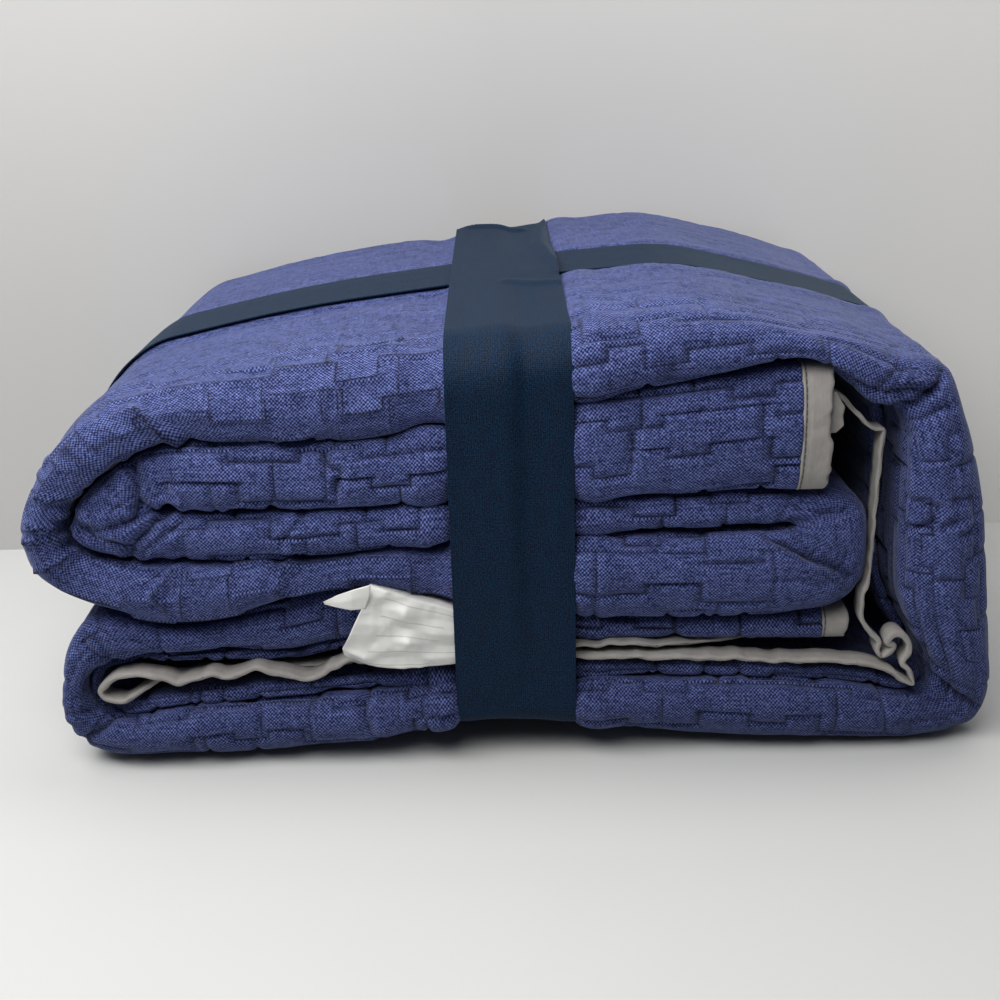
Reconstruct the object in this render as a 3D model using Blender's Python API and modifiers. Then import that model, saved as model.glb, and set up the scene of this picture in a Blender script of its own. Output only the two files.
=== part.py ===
"""A quilt folded lengthwise to a strip of eight plies, then folded flat in six layers.

The strip starts at its lower end inside the pack (layer 5), turns down round the bottom left
corner, runs along the bottom (layer 6), climbs the right side, crosses the top (layer 1), wraps
the left side, comes back (layer 4), turns up at the inner right (layer 3), turns up again at the
inner left and ends at the right (layer 2). Two woven elastic rings hold the pack.

Frame: metres, +Z up, +X along the pack, the long folded edge faces -Y, the underside is z = 0.
"""

import math
from typing import NamedTuple

import bmesh
import bpy
import numpy as np

MM = 0.001

# The pack, in millimetres
PACK_DEPTH = 286.0  # a quarter of a yard and a bit: 2.3 m of quilt in eight plies
FRONT_Y = -PACK_DEPTH / 2
BACK_Y = PACK_DEPTH / 2
BACK_RISE = 0.075  # the pack is this share taller at the back than at the front

# The strip's rounded long edges
NOSE_SHARE = 0.55  # depth of the rounded edge, as a share of the strip's thickness
NOSE_MOST = 15.0
NOSE_FULLNESS = 2.5  # exponent of the rounded edge; 2 is an ellipse
FRONT_NOSE_POINTS = 9
BACK_NOSE_POINTS = 7
STATION_SPACING = 24.0  # between two sections of the strip along a straight run

# Binding
SEAT_GAP = 0.4  # between pieces that lie on each other
BINDING_WIDTH = 12.0
BINDING_THICKNESS = 4.0
BINDING_SET_BACK = 9.0  # behind the front of the pack

# Woven elastic rings
BAND_WIDTH = 53.0
BAND_THICKNESS = 1.2
UPRIGHT_CENTRE_X = -2.0
LEVEL_CENTRE_Y = 0.0
LEVEL_GAP = 0.8
UPRIGHT_GAP = 2.4  # the upright ring passes outside the level one
CHANNEL_HALF_WIDTH = BAND_WIDTH / 2 + 1.5
CHANNEL_HEIGHT = 2.2  # the soft underside gives way to the level ring

# Care label
LABEL_THICKNESS = 1.0


class Rib(NamedTuple):
    """One section across the strip: its outer side, its inner side and how far it sits back."""

    place: str
    outer_x: float
    outer_z: float
    inner_x: float
    inner_z: float
    set_back: float


# One row a section, in millimetres, from the lower end to the upper end of the strip. The outer
# side is the one that faces out of the pack in the first wrap.
RIBS = (
    Rib("layer 5, cut end", 135.0, 64.0, 135.0, 50.8, 12.0),
    Rib("layer 5", 83.0, 62.0, 83.0, 52.2, 12.0),
    Rib("layer 5", 29.0, 65.6, 29.0, 54.0, 12.0),
    Rib("layer 5", -32.0, 73.0, -32.0, 56.6, 12.0),
    Rib("layer 5", -79.0, 80.5, -79.0, 53.0, 10.0),
    Rib("layer 5", -127.0, 70.0, -127.0, 49.2, 9.0),
    Rib("layer 5", -159.0, 66.4, -157.0, 48.2, 7.0),
    Rib("bottom left turn", -186.0, 73.5, -171.0, 48.0, 5.0),
    Rib("bottom left turn", -199.5, 61.0, -184.5, 45.5, 3.0),
    Rib("left foot", -206.5, 38.0, -190.5, 39.5, 2.0),
    Rib("left foot", -206.5, 20.0, -190.5, 34.5, 2.0),
    Rib("bottom left mitre", -200.0, 7.0, -186.0, 30.8, 5.0),
    Rib("layer 6", -185.0, 0.0, -176.0, 29.8, 1.0),
    Rib("layer 6", -152.0, 0.0, -152.0, 33.6, 0.0),
    Rib("layer 6", -107.0, 0.0, -107.0, 37.0, 0.0),
    Rib("layer 6", -69.0, 0.0, -69.0, 39.2, 0.0),
    Rib("layer 6, drawn in", -33.0, 12.0, -33.0, 41.6, 1.0),
    Rib("layer 6, drawn in", 26.0, 12.0, 26.0, 42.4, 1.0),
    Rib("layer 6", 61.0, 0.0, 61.0, 42.2, 0.0),
    Rib("layer 6", 113.0, 0.0, 113.0, 40.4, 0.0),
    Rib("layer 6", 153.0, 0.0, 153.0, 36.0, 0.0),
    Rib("layer 6", 183.0, 0.0, 171.0, 31.0, 1.0),
    Rib("bottom right mitre", 208.0, 6.0, 179.5, 30.5, 6.0),
    Rib("right side", 213.5, 26.0, 177.5, 41.0, 2.0),
    Rib("right side", 211.0, 50.0, 168.5, 56.0, 0.0),
    Rib("right side", 208.5, 70.0, 162.5, 71.0, 0.0),
    Rib("right side", 205.0, 99.0, 160.2, 99.0, 0.0),
    Rib("right side", 198.0, 130.0, 160.0, 126.0, 0.0),
    Rib("right side", 191.0, 152.0, 159.2, 144.0, 0.0),
    Rib("top right mitre", 182.0, 173.0, 155.6, 153.5, 5.0),
    Rib("layer 1", 167.0, 178.0, 149.0, 161.0, 2.0),
    Rib("layer 1", 148.0, 184.0, 140.0, 168.0, 1.0),
    Rib("layer 1", 121.0, 190.5, 123.0, 179.6, 0.0),
    Rib("layer 1", 78.0, 199.0, 78.0, 173.2, 0.0),
    Rib("layer 1", 27.0, 195.0, 27.0, 165.6, 0.0),
    Rib("layer 1", -32.0, 188.5, -32.0, 156.8, 0.0),
    Rib("layer 1", -79.0, 183.5, -79.0, 151.8, 0.0),
    Rib("layer 1", -121.0, 177.0, -118.0, 152.4, 0.0),
    Rib("left shoulder", -153.0, 170.5, -140.0, 152.8, 3.0),
    Rib("left wrap", -175.0, 165.0, -157.0, 148.6, 1.0),
    Rib("left wrap", -194.0, 151.0, -172.0, 140.0, 0.0),
    Rib("left wrap", -206.5, 132.0, -186.5, 130.0, 1.0),
    Rib("left wrap", -213.5, 111.0, -195.0, 118.0, 2.0),
    Rib("left wrap", -212.5, 94.0, -194.0, 105.6, 3.0),
    Rib("lower left mitre", -202.0, 83.0, -187.0, 100.0, 5.0),
    Rib("layer 4", -179.0, 75.5, -170.0, 96.4, 1.0),
    Rib("layer 4", -152.0, 69.5, -149.0, 96.4, 0.0),
    Rib("layer 4", -127.0, 72.4, -127.0, 96.6, 0.0),
    Rib("layer 4", -79.0, 83.0, -79.0, 98.4, 1.0),
    Rib("layer 4", -32.0, 76.0, -32.0, 103.0, 1.0),
    Rib("layer 4", 29.0, 68.2, 29.0, 104.2, 0.0),
    Rib("layer 4", 78.0, 65.0, 78.0, 104.0, 0.0),
    Rib("layer 4", 118.0, 65.4, 110.0, 103.8, 0.0),
    Rib("inner right turn", 140.0, 68.8, 116.0, 104.0, 1.0),
    Rib("inner right mitre", 151.6, 77.0, 119.0, 104.4, 5.0),
    Rib("inner right turn", 153.4, 96.0, 120.2, 105.0, 3.0),
    Rib("inner right turn", 151.0, 113.0, 119.0, 105.6, 5.0),
    Rib("inner right turn", 139.0, 120.4, 116.0, 106.0, 7.0),
    Rib("layer 3", 113.0, 120.8, 108.0, 106.0, 7.0),
    Rib("layer 3", 66.0, 120.4, 66.0, 105.8, 5.0),
    Rib("layer 3", 26.0, 120.6, 26.0, 105.8, 5.0),
    Rib("layer 3", -31.0, 120.2, -31.0, 104.8, 3.0),
    Rib("layer 3", -79.0, 119.2, -79.0, 100.2, 2.0),
    Rib("layer 3", -119.0, 119.2, -119.0, 98.2, 2.0),
    Rib("inner left turn", -144.0, 119.4, -147.0, 98.0, 4.0),
    Rib("inner left turn", -152.0, 119.8, -169.0, 98.8, 5.0),
    Rib("inner left turn", -155.0, 120.2, -187.0, 103.6, 4.0),
    Rib("inner left turn", -156.0, 120.8, -193.2, 113.0, 4.0),
    Rib("inner left turn", -155.6, 121.4, -187.0, 126.4, 4.0),
    Rib("inner left turn", -154.0, 121.8, -173.0, 137.8, 4.0),
    Rib("inner left mitre", -149.0, 122.0, -157.0, 146.4, 6.0),
    Rib("layer 2", -139.0, 121.8, -140.0, 150.8, 1.0),
    Rib("layer 2", -119.0, 121.2, -119.0, 150.8, 0.0),
    Rib("layer 2", -79.0, 121.0, -79.0, 150.2, 0.0),
    Rib("layer 2", -31.0, 122.2, -31.0, 155.2, 0.0),
    Rib("layer 2", 26.0, 122.6, 26.0, 164.0, 0.0),
    Rib("layer 2", 66.0, 122.4, 66.0, 170.2, 0.0),
    Rib("layer 2", 101.0, 123.2, 101.0, 175.4, 0.0),
    Rib("layer 2, cut end", 119.0, 123.6, 119.0, 177.0, 0.0),
)
LAYER_6 = "layer 6"
LAYER_1 = "layer 1"
LEVEL_BAND_FROM = "left foot"  # the level ring spans the notch between these two places
LEVEL_BAND_TO = "left wrap"


class RoutePoint(NamedTuple):
    """One point on the route of the bound free edge, in millimetres."""

    place: str
    x: float
    z: float


EDGE_ROUTE = (
    RoutePoint("below the lower end", 144.0, 47.6),
    RoutePoint("under layer 5", 112.0, 48.8),
    RoutePoint("under layer 5", 83.0, 49.6),
    RoutePoint("under layer 5", 29.0, 51.4),
    RoutePoint("under layer 5", -32.0, 54.0),
    RoutePoint("under layer 5", -79.0, 50.4),
    RoutePoint("under layer 5", -127.0, 46.6),
    RoutePoint("under layer 5", -160.0, 45.4),
    RoutePoint("bottom left loop", -176.0, 43.6),
    RoutePoint("bottom left loop", -184.0, 38.6),
    RoutePoint("bottom left loop", -178.0, 34.2),
    RoutePoint("on layer 6", -152.0, 36.4),
    RoutePoint("on layer 6", -127.0, 38.2),
    RoutePoint("on layer 6", -79.0, 41.2),
    RoutePoint("on layer 6", -32.0, 44.4),
    RoutePoint("on layer 6", 25.0, 45.2),
    RoutePoint("on layer 6", 83.0, 44.4),
    RoutePoint("on layer 6", 128.0, 41.8),
    RoutePoint("on layer 6", 158.0, 37.8),
    RoutePoint("corner tip", 172.0, 35.0),
    RoutePoint("crumple", 168.6, 45.0),
    RoutePoint("inside the right", 162.0, 58.0),
    RoutePoint("inside the right", 158.0, 72.0),
    RoutePoint("inside the right", 157.2, 99.0),
    RoutePoint("inside the right", 157.2, 124.0),
    RoutePoint("inside the right", 155.4, 142.0),
    RoutePoint("below layer 1", 150.0, 152.0),
    RoutePoint("below layer 1", 141.0, 161.5),
)


class LabelRow(NamedTuple):
    """One line across the care label, from its left edge to its right edge, in millimetres."""

    place: str
    left_x: float
    right_x: float
    left_z: float
    right_z: float
    y: float


LABEL_ROWS = (
    LabelRow("held between the layers", -64.0, -18.0, 80.1, 72.7, -118.0),
    LabelRow("comes out", -66.0, -18.0, 80.3, 72.7, -131.0),
    LabelRow("bends down", -70.0, -20.0, 77.2, 70.6, -136.6),
    LabelRow("hangs", -76.0, -22.0, 70.0, 65.0, -138.6),
    LabelRow("hangs", -79.0, -24.0, 61.5, 57.0, -139.2),
    LabelRow("free end", -80.0, -25.0, 53.0, 49.5, -139.0),
)

COLOURS = {
    "quilt": (0.055, 0.062, 0.19),
    "long_edge_binding": (0.40, 0.38, 0.36),
    "end_binding_upper": (0.40, 0.38, 0.36),
    "end_binding_lower": (0.40, 0.38, 0.36),
    "care_label": (0.80, 0.80, 0.80),
    "band_upright": (0.012, 0.020, 0.028),
    "band_level": (0.012, 0.020, 0.028),
}
CLOTH_ROUGHNESS = 0.9


def clear_scene():
    """Remove every object of the scene the script is run in."""
    for thing in list(bpy.data.objects):
        bpy.data.objects.remove(thing, do_unlink=True)


def smooth_path(points, spacing):
    """Points along a centripetal Catmull-Rom curve through points.

    Args:
        points: an array with a row for each point.
        spacing: the greatest distance between two points of the result.

    Returns:
        The array of points, and for each the index of the row it follows.
    """
    points = np.asarray(points, dtype=float)
    padded = np.vstack([2 * points[0] - points[1], points, 2 * points[-1] - points[-2]])
    gaps = np.maximum(np.linalg.norm(np.diff(padded, axis=0), axis=1), 1e-6)
    knots = np.concatenate([[0.0], np.cumsum(np.sqrt(gaps))])
    out, rows = [], []
    for i in range(len(points) - 1):
        a, b, c, d = padded[i : i + 4]
        ta, tb, tc, td = knots[i : i + 4]
        steps = max(1, math.ceil(gaps[i + 1] / spacing))
        for k in range(steps):
            t = tb + (tc - tb) * k / steps
            ab = (a * (tb - t) + b * (t - ta)) / (tb - ta)
            bc = (b * (tc - t) + c * (t - tb)) / (tc - tb)
            cd = (c * (td - t) + d * (t - tc)) / (td - tc)
            abc = (ab * (tc - t) + bc * (t - ta)) / (tc - ta)
            bcd = (bc * (td - t) + cd * (t - tb)) / (td - tb)
            out.append((abc * (tc - t) + bcd * (t - tb)) / (tc - tb))
            rows.append(i)
    out.append(points[-1])
    rows.append(len(points) - 1)
    return np.array(out), rows


def height_at(z, y):
    """The height z of a point of the front face, carried back to y."""
    return z * (1 + BACK_RISE * (y - FRONT_Y) / PACK_DEPTH)


def nose(count):
    """The rounded edge from the outer side to the inner side, as shares.

    Returns:
        A list of (share of the thickness, share of the depth behind the foremost point).
    """
    power = 2 / NOSE_FULLNESS
    shares = []
    for i in range(count):
        angle = math.pi * i / (count - 1)
        across = math.copysign(abs(math.cos(angle)) ** power, math.cos(angle))
        depth = 1 - abs(math.sin(angle)) ** power
        shares.append(((1 - across) / 2, depth))
    return shares


def strip_section(station):
    """The closed outline of the strip at one station, in metres."""
    outer = station[0:2]
    inner = station[2:4]
    front = FRONT_Y + station[4]
    back = BACK_Y - station[4] / 2
    depth = min(NOSE_MOST, NOSE_SHARE * float(np.linalg.norm(outer - inner)))
    flats = (-CHANNEL_HALF_WIDTH - 2, -CHANNEL_HALF_WIDTH, CHANNEL_HALF_WIDTH, CHANNEL_HALF_WIDTH + 2)
    outline = [(share, front + depth * d) for share, d in nose(FRONT_NOSE_POINTS)]
    outline += [(1.0, y) for y in (flats[0], flats[-1])]
    outline += [(1 - share, back - depth * d) for share, d in nose(BACK_NOSE_POINTS)]
    outline += [(0.0, y) for y in reversed(flats)]
    ring = []
    for share, y in outline:
        x, z = outer + (inner - outer) * share
        z = max(z, 0.0)
        if abs(y) <= CHANNEL_HALF_WIDTH:
            z = max(z, CHANNEL_HEIGHT)
        ring.append((x * MM, y * MM, height_at(z, y) * MM))
    return ring


def bead_section(middle, across, thickness, front, width):
    """The outline of a narrow bead, rounded at the front.

    Args:
        middle: its middle in x and z.
        across: the unit direction of its thickness in x and z.
        thickness: in millimetres.
        front: the y of its front.
        width: its size in y.
    """
    outline = [(share - 0.5, front + thickness / 2 * d) for share, d in nose(5)]
    outline += [(0.5, front + width), (-0.5, front + width)]
    ring = []
    for share, y in outline:
        x, z = middle + across * (share * thickness)
        ring.append((x * MM, y * MM, height_at(z, y) * MM))
    return ring


def new_object(name, mesh, collection):
    """Link a mesh as an object with its own material, shaded smooth."""
    thing = bpy.data.objects.new(name, mesh)
    collection.objects.link(thing)
    material = bpy.data.materials.new(name + "_finish")
    material.use_nodes = True
    shader = material.node_tree.nodes["Principled BSDF"]
    shader.inputs["Base Color"].default_value = (*COLOURS[name], 1.0)
    shader.inputs["Roughness"].default_value = CLOTH_ROUGHNESS
    shader.inputs["Metallic"].default_value = 0.0
    mesh.materials.append(material)
    mesh.shade_smooth()
    return thing


def loft(name, rings, collection):
    """A closed body through rings of equal length, capped at both ends."""
    mesh = bpy.data.meshes.new(name)
    shape = bmesh.new()
    rows = [[shape.verts.new(point) for point in ring] for ring in rings]
    for first, second in zip(rows, rows[1:]):
        for i in range(len(first)):
            j = (i + 1) % len(first)
            shape.faces.new((first[i], first[j], second[j], second[i]))
    shape.faces.new(list(reversed(rows[0])))
    shape.faces.new(rows[-1])
    bmesh.ops.triangulate(shape, faces=[f for f in shape.faces if len(f.verts) > 4])
    bmesh.ops.recalc_face_normals(shape, faces=shape.faces)
    shape.to_mesh(mesh)
    shape.free()
    return new_object(name, mesh, collection)


def sheet(name, rows, thickness, side, collection, closed):
    """A thin sheet: an open surface through rows of points, given its thickness by Solidify.

    Args:
        name: the object's name.
        rows: lists of points in metres, all of one length.
        thickness: in millimetres.
        side: 1 adds it on the side the surface faces, 0 half on each side.
        collection: where the object goes.
        closed: True joins the last row to the first, for a ring.
    """
    mesh = bpy.data.meshes.new(name)
    shape = bmesh.new()
    lines = [[shape.verts.new(point) for point in row] for row in rows]
    if closed:
        lines.append(lines[0])
    for first, second in zip(lines, lines[1:]):
        for a, b, c, d in zip(first, first[1:], second[1:], second):
            shape.faces.new((a, b, c, d))
    shape.to_mesh(mesh)
    shape.free()
    thing = new_object(name, mesh, collection)
    solid = thing.modifiers.new("thickness", "SOLIDIFY")
    solid.thickness = thickness * MM
    solid.offset = side
    solid.use_even_offset = True
    return thing


def strip_stations():
    """The strip's sections between and at the ribs, and the rib each one follows."""
    table = [(rib.outer_x, rib.outer_z, rib.inner_x, rib.inner_z, rib.set_back) for rib in RIBS]
    return smooth_path(table, STATION_SPACING * math.sqrt(2))


def outer_line(stations, rows, layer):
    """The outer side and the thickness along one layer, sorted by x.

    Returns:
        An array with x, z and thickness in its columns.
    """
    found = []
    for station, row in zip(stations, rows):
        if RIBS[row].place.startswith(layer):
            thickness = np.linalg.norm(station[0:2] - station[2:4])
            found.append((station[0], max(station[1], 0.0), thickness))
    return np.array(sorted(found))


def make_quilt(stations, collection):
    """The folded strip, one closed body."""
    return loft("quilt", [strip_section(station) for station in stations], collection)


def make_end_binding(name, rib, collection):
    """The binding over one cut end of the strip: a slab with the strip's own section.

    Args:
        name: the object's name.
        rib: the rib at that end.
        collection: where the object goes.
    """
    outer = np.array([rib.outer_x, rib.outer_z])
    inner = np.array([rib.inner_x, rib.inner_z])
    rings = []
    for out, draw_in in ((SEAT_GAP, 0.0), (4.0, 0.6), (8.0, 2.2), (BINDING_WIDTH, 5.0)):
        shift = np.array([out, 0.0])
        inward = (inner - outer) / np.linalg.norm(inner - outer) * draw_in
        station = np.array([*(outer + shift + inward), *(inner + shift - inward), rib.set_back + draw_in / 2])
        rings.append(strip_section(station))
    return loft(name, rings, collection)


def make_long_edge_binding(collection):
    """The bead along the free long edge, seen inside the roll from end to end."""
    route, _ = smooth_path([(p.x, p.z) for p in EDGE_ROUTE], STATION_SPACING)
    along = np.gradient(route, axis=0)
    along /= np.linalg.norm(along, axis=1)[:, None]
    rings = []
    for middle, (dx, dz) in zip(route, along):
        across = np.array([-dz, dx])
        front = FRONT_Y + BINDING_SET_BACK
        rings.append(bead_section(middle, across, BINDING_THICKNESS, front, BINDING_WIDTH))
    return loft("long_edge_binding", rings, collection)


def make_care_label(collection):
    """The label that hangs out between layers 4 and 5."""
    rows = []
    for row in LABEL_ROWS:
        line = []
        for share in np.linspace(0.0, 1.0, 5):
            x = row.left_x + (row.right_x - row.left_x) * share
            z = row.left_z + (row.right_z - row.left_z) * share
            line.append((x * MM, row.y * MM, height_at(z, row.y) * MM))
        rows.append(line)
    return sheet("care_label", rows, LABEL_THICKNESS, 0.0, collection, False)


def offset_loop(loop, gap):
    """A closed loop of points in a plane, moved outwards by gap. It runs counterclockwise."""
    along = np.roll(loop, -1, axis=0) - np.roll(loop, 1, axis=0)
    along /= np.linalg.norm(along, axis=1)[:, None]
    return loop + gap * np.column_stack([along[:, 1], -along[:, 0]])


def pack_outline(x, bottom, top):
    """The outline of the whole pack across y and z at one x, as a closed loop.

    Args:
        x: where along the pack.
        bottom: the outer line of layer 6.
        top: the outer line of layer 1.
    """
    bottom_z, bottom_t = (np.interp(x, bottom[:, 0], bottom[:, k]) for k in (1, 2))
    top_z, top_t = (np.interp(x, top[:, 0], top[:, k]) for k in (1, 2))
    quarter = 5
    low_depth = min(NOSE_MOST, NOSE_SHARE * bottom_t)
    high_depth = min(NOSE_MOST, NOSE_SHARE * top_t)
    low = [(d * low_depth, bottom_z + s * bottom_t) for s, d in nose(2 * quarter - 1)[:quarter]]
    high = [(d * high_depth, top_z - s * top_t) for s, d in nose(2 * quarter - 1)[:quarter]]
    flat_steps = np.linspace(0, 1, 8)[1:-1]
    front_low = [(FRONT_Y + d, z) for d, z in low]
    back_low = [(BACK_Y - d, z) for d, z in low]
    front_high = [(FRONT_Y + d, z) for d, z in high]
    back_high = [(BACK_Y - d, z) for d, z in high]
    start, end = front_low[0][0], back_low[0][0]
    loop = [(start + (end - start) * t, bottom_z) for t in flat_steps]
    loop += back_low
    loop += [(BACK_Y, back_low[-1][1] + (back_high[-1][1] - back_low[-1][1]) * t) for t in (0.33, 0.67)]
    loop += list(reversed(back_high))
    start, end = back_high[0][0], front_high[0][0]
    loop += [(start + (end - start) * t, top_z) for t in flat_steps]
    loop += front_high
    loop += [(FRONT_Y, front_high[-1][1] + (front_low[-1][1] - front_high[-1][1]) * t) for t in (0.33, 0.67)]
    loop += list(reversed(front_low))
    return np.array([(y, height_at(z, y)) for y, z in loop])


def make_band_upright(bottom, top, collection):
    """The ring over the front, top, back and underside."""
    edges = np.linspace(-BAND_WIDTH / 2, BAND_WIDTH / 2, 4) + UPRIGHT_CENTRE_X
    loops = []
    for x in edges:
        outline = pack_outline(x, bottom, top)
        face = offset_loop(outline, UPRIGHT_GAP)
        face[:, 0] = np.clip(face[:, 0], FRONT_Y - SEAT_GAP, BACK_Y + SEAT_GAP)
        loops.append([(x * MM, y * MM, z * MM) for y, z in face])
    rows = [list(points) for points in zip(*reversed(loops))]
    return sheet("band_upright", rows, BAND_THICKNESS, 1.0, collection, True)


def make_band_level(stations, rows, collection):
    """The ring over the top, both ends and the underside."""
    first = next(i for i, row in enumerate(rows) if RIBS[row].place == LEVEL_BAND_FROM)
    last = max(i for i, row in enumerate(rows) if RIBS[row].place == LEVEL_BAND_TO)
    outline = stations[first : last + 1, 0:2]
    face = offset_loop(outline, LEVEL_GAP)
    face[:, 1] = np.maximum(face[:, 1], BAND_THICKNESS + 0.2)
    edges = np.linspace(-BAND_WIDTH / 2, BAND_WIDTH / 2, 3) + LEVEL_CENTRE_Y
    lines = [[(x * MM, y * MM, height_at(z, y) * MM) for y in edges] for x, z in face]
    return sheet("band_level", lines, BAND_THICKNESS, 1.0, collection, True)


def main():
    """Build the whole pack."""
    clear_scene()
    collection = bpy.data.collections.new("folded_quilt")
    bpy.context.scene.collection.children.link(collection)
    stations, rows = strip_stations()
    make_quilt(stations, collection)
    make_end_binding("end_binding_upper", RIBS[-1], collection)
    make_end_binding("end_binding_lower", RIBS[0], collection)
    make_long_edge_binding(collection)
    make_care_label(collection)
    bottom = outer_line(stations, rows, LAYER_6)
    top = outer_line(stations, rows, LAYER_1)
    make_band_upright(bottom, top, collection)
    make_band_level(stations, rows, collection)


if __name__ == "__main__":
    main()
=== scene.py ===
"""The looks of a folded quilt held by two elastic rings.

The quilt is folded lengthwise to a strip of eight plies and wound flat in six layers, as its
solids are. This file makes its fine surface with the stitched lines, puffs and creases, the
binding, the care label and the rings, and it dresses and lights them.

Sizes are in millimetres unless a name says otherwise. A mesh is in metres.
"""

import logging
import math
from dataclasses import dataclass, field
from enum import Enum
from typing import NamedTuple, Sequence, Union

import bpy
import numpy as np
from mathutils import Matrix, Vector


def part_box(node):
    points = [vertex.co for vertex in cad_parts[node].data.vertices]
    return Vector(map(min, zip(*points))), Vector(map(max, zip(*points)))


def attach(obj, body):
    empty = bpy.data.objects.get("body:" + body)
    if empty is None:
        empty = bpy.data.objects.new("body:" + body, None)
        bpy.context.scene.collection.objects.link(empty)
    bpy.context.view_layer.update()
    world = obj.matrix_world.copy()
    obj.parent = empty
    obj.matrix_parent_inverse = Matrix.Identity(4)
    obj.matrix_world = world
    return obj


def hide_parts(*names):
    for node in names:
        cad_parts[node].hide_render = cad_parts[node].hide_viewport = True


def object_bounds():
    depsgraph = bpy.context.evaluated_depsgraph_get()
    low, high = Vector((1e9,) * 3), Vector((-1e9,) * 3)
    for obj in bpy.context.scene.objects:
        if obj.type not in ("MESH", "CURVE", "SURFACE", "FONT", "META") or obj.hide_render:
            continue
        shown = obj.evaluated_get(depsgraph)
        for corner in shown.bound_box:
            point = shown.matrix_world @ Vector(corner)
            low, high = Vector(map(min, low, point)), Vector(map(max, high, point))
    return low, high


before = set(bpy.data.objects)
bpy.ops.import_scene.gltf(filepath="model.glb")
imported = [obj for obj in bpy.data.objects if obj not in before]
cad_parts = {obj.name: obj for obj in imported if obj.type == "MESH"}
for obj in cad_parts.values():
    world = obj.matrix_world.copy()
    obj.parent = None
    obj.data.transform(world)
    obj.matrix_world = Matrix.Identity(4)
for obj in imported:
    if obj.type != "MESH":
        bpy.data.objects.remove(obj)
CAD_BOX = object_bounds()

log = logging.getLogger("folded_quilt")

MM = 0.001
BODY = "root"
FAR = 20.0  # a distance from a line that counts as none

# The pack, from the frame
PACK_LOW, PACK_HIGH = (np.array(corner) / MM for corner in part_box("quilt"))
FRONT_Y = round(PACK_LOW[1])
BACK_Y = round(PACK_HIGH[1])
PACK_DEPTH = BACK_Y - FRONT_Y
BACK_RISE = 0.075  # the pack is this share taller at the back than at the front

# The rings, from the frame
UPRIGHT_LOW, UPRIGHT_HIGH = (np.array(corner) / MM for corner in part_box("band_upright"))
LEVEL_LOW, LEVEL_HIGH = (np.array(corner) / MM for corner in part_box("band_level"))
BAND_WIDTH = 53.0
UPRIGHT_X = (UPRIGHT_LOW[0] + UPRIGHT_HIGH[0]) / 2
LEVEL_Y = (LEVEL_LOW[1] + LEVEL_HIGH[1]) / 2

Numeric = Union["Value", "Numbers", float]
Colour = tuple[float, float, float]


# ---------------------------------------------------------------------------
# One rule for meshes and materials
# ---------------------------------------------------------------------------


class Numbers(np.ndarray):
    """An array that has the methods of Value, so that one rule shapes a mesh and draws a material."""

    @staticmethod
    def of(array: np.ndarray) -> "Numbers":
        """The array itself, with these methods."""
        return np.asarray(array, dtype=float).view(Numbers)

    def floor(self) -> "Numbers":
        """The whole number below."""
        return np.floor(self)

    def absolute(self) -> "Numbers":
        """The size without its sign."""
        return np.abs(self)

    def sine(self) -> "Numbers":
        """The sine of an angle in radians."""
        return np.sin(self)

    def root(self) -> "Numbers":
        """The square root."""
        return np.sqrt(self)

    def modulo(self, other: float) -> "Numbers":
        """What is left after division."""
        return np.mod(self, other)

    def least(self, other: Numeric) -> "Numbers":
        """The smaller of the two."""
        return np.minimum(self, other)

    def most(self, other: Numeric) -> "Numbers":
        """The greater of the two."""
        return np.maximum(self, other)

    def above(self, other: float) -> "Numbers":
        """1 where this is greater, 0 elsewhere."""
        return Numbers.of(np.greater(self, other))


class Value:
    """A number that changes over a surface: a socket of a material's nodes, with the usual signs."""

    def __init__(self, paint: "Paint", socket: bpy.types.NodeSocket) -> None:
        """Wrap one socket of a paint's nodes."""
        self.paint = paint
        self.socket = socket

    def maths(self, operation: str, *others: Numeric, swapped: bool = False) -> "Value":
        """The result of a Math node.

        Args:
            operation: the node's operation.
            others: the second and third number, if it takes them.
            swapped: True puts this number last.

        Returns:
            The node's output.
        """
        inputs = [self, *others]
        if swapped:
            inputs.reverse()
        node = self.paint.node("ShaderNodeMath", {"operation": operation}, dict(enumerate(inputs)))
        return Value(self.paint, node.outputs[0])

    def __add__(self, other: Numeric) -> "Value":
        """The sum."""
        return self.maths("ADD", other)

    def __radd__(self, other: float) -> "Value":
        """The sum."""
        return self.maths("ADD", other)

    def __sub__(self, other: Numeric) -> "Value":
        """The difference."""
        return self.maths("SUBTRACT", other)

    def __rsub__(self, other: float) -> "Value":
        """The difference, from a plain number."""
        return self.maths("SUBTRACT", other, swapped=True)

    def __mul__(self, other: Numeric) -> "Value":
        """The product."""
        return self.maths("MULTIPLY", other)

    def __rmul__(self, other: float) -> "Value":
        """The product."""
        return self.maths("MULTIPLY", other)

    def __truediv__(self, other: Numeric) -> "Value":
        """The quotient."""
        return self.maths("DIVIDE", other)

    def __pow__(self, other: float) -> "Value":
        """The power."""
        return self.maths("POWER", other)

    def floor(self) -> "Value":
        """The whole number below."""
        return self.maths("FLOOR")

    def absolute(self) -> "Value":
        """The size without its sign."""
        return self.maths("ABSOLUTE")

    def sine(self) -> "Value":
        """The sine of an angle in radians."""
        return self.maths("SINE")

    def root(self) -> "Value":
        """The square root."""
        return self.maths("SQRT")

    def modulo(self, other: float) -> "Value":
        """What is left after division."""
        return self.maths("FLOORED_MODULO", other)

    def least(self, other: Numeric) -> "Value":
        """The smaller of the two."""
        return self.maths("MINIMUM", other)

    def most(self, other: Numeric) -> "Value":
        """The greater of the two."""
        return self.maths("MAXIMUM", other)

    def above(self, other: float) -> "Value":
        """1 where this is greater, 0 elsewhere."""
        return self.maths("GREATER_THAN", other)


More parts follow.
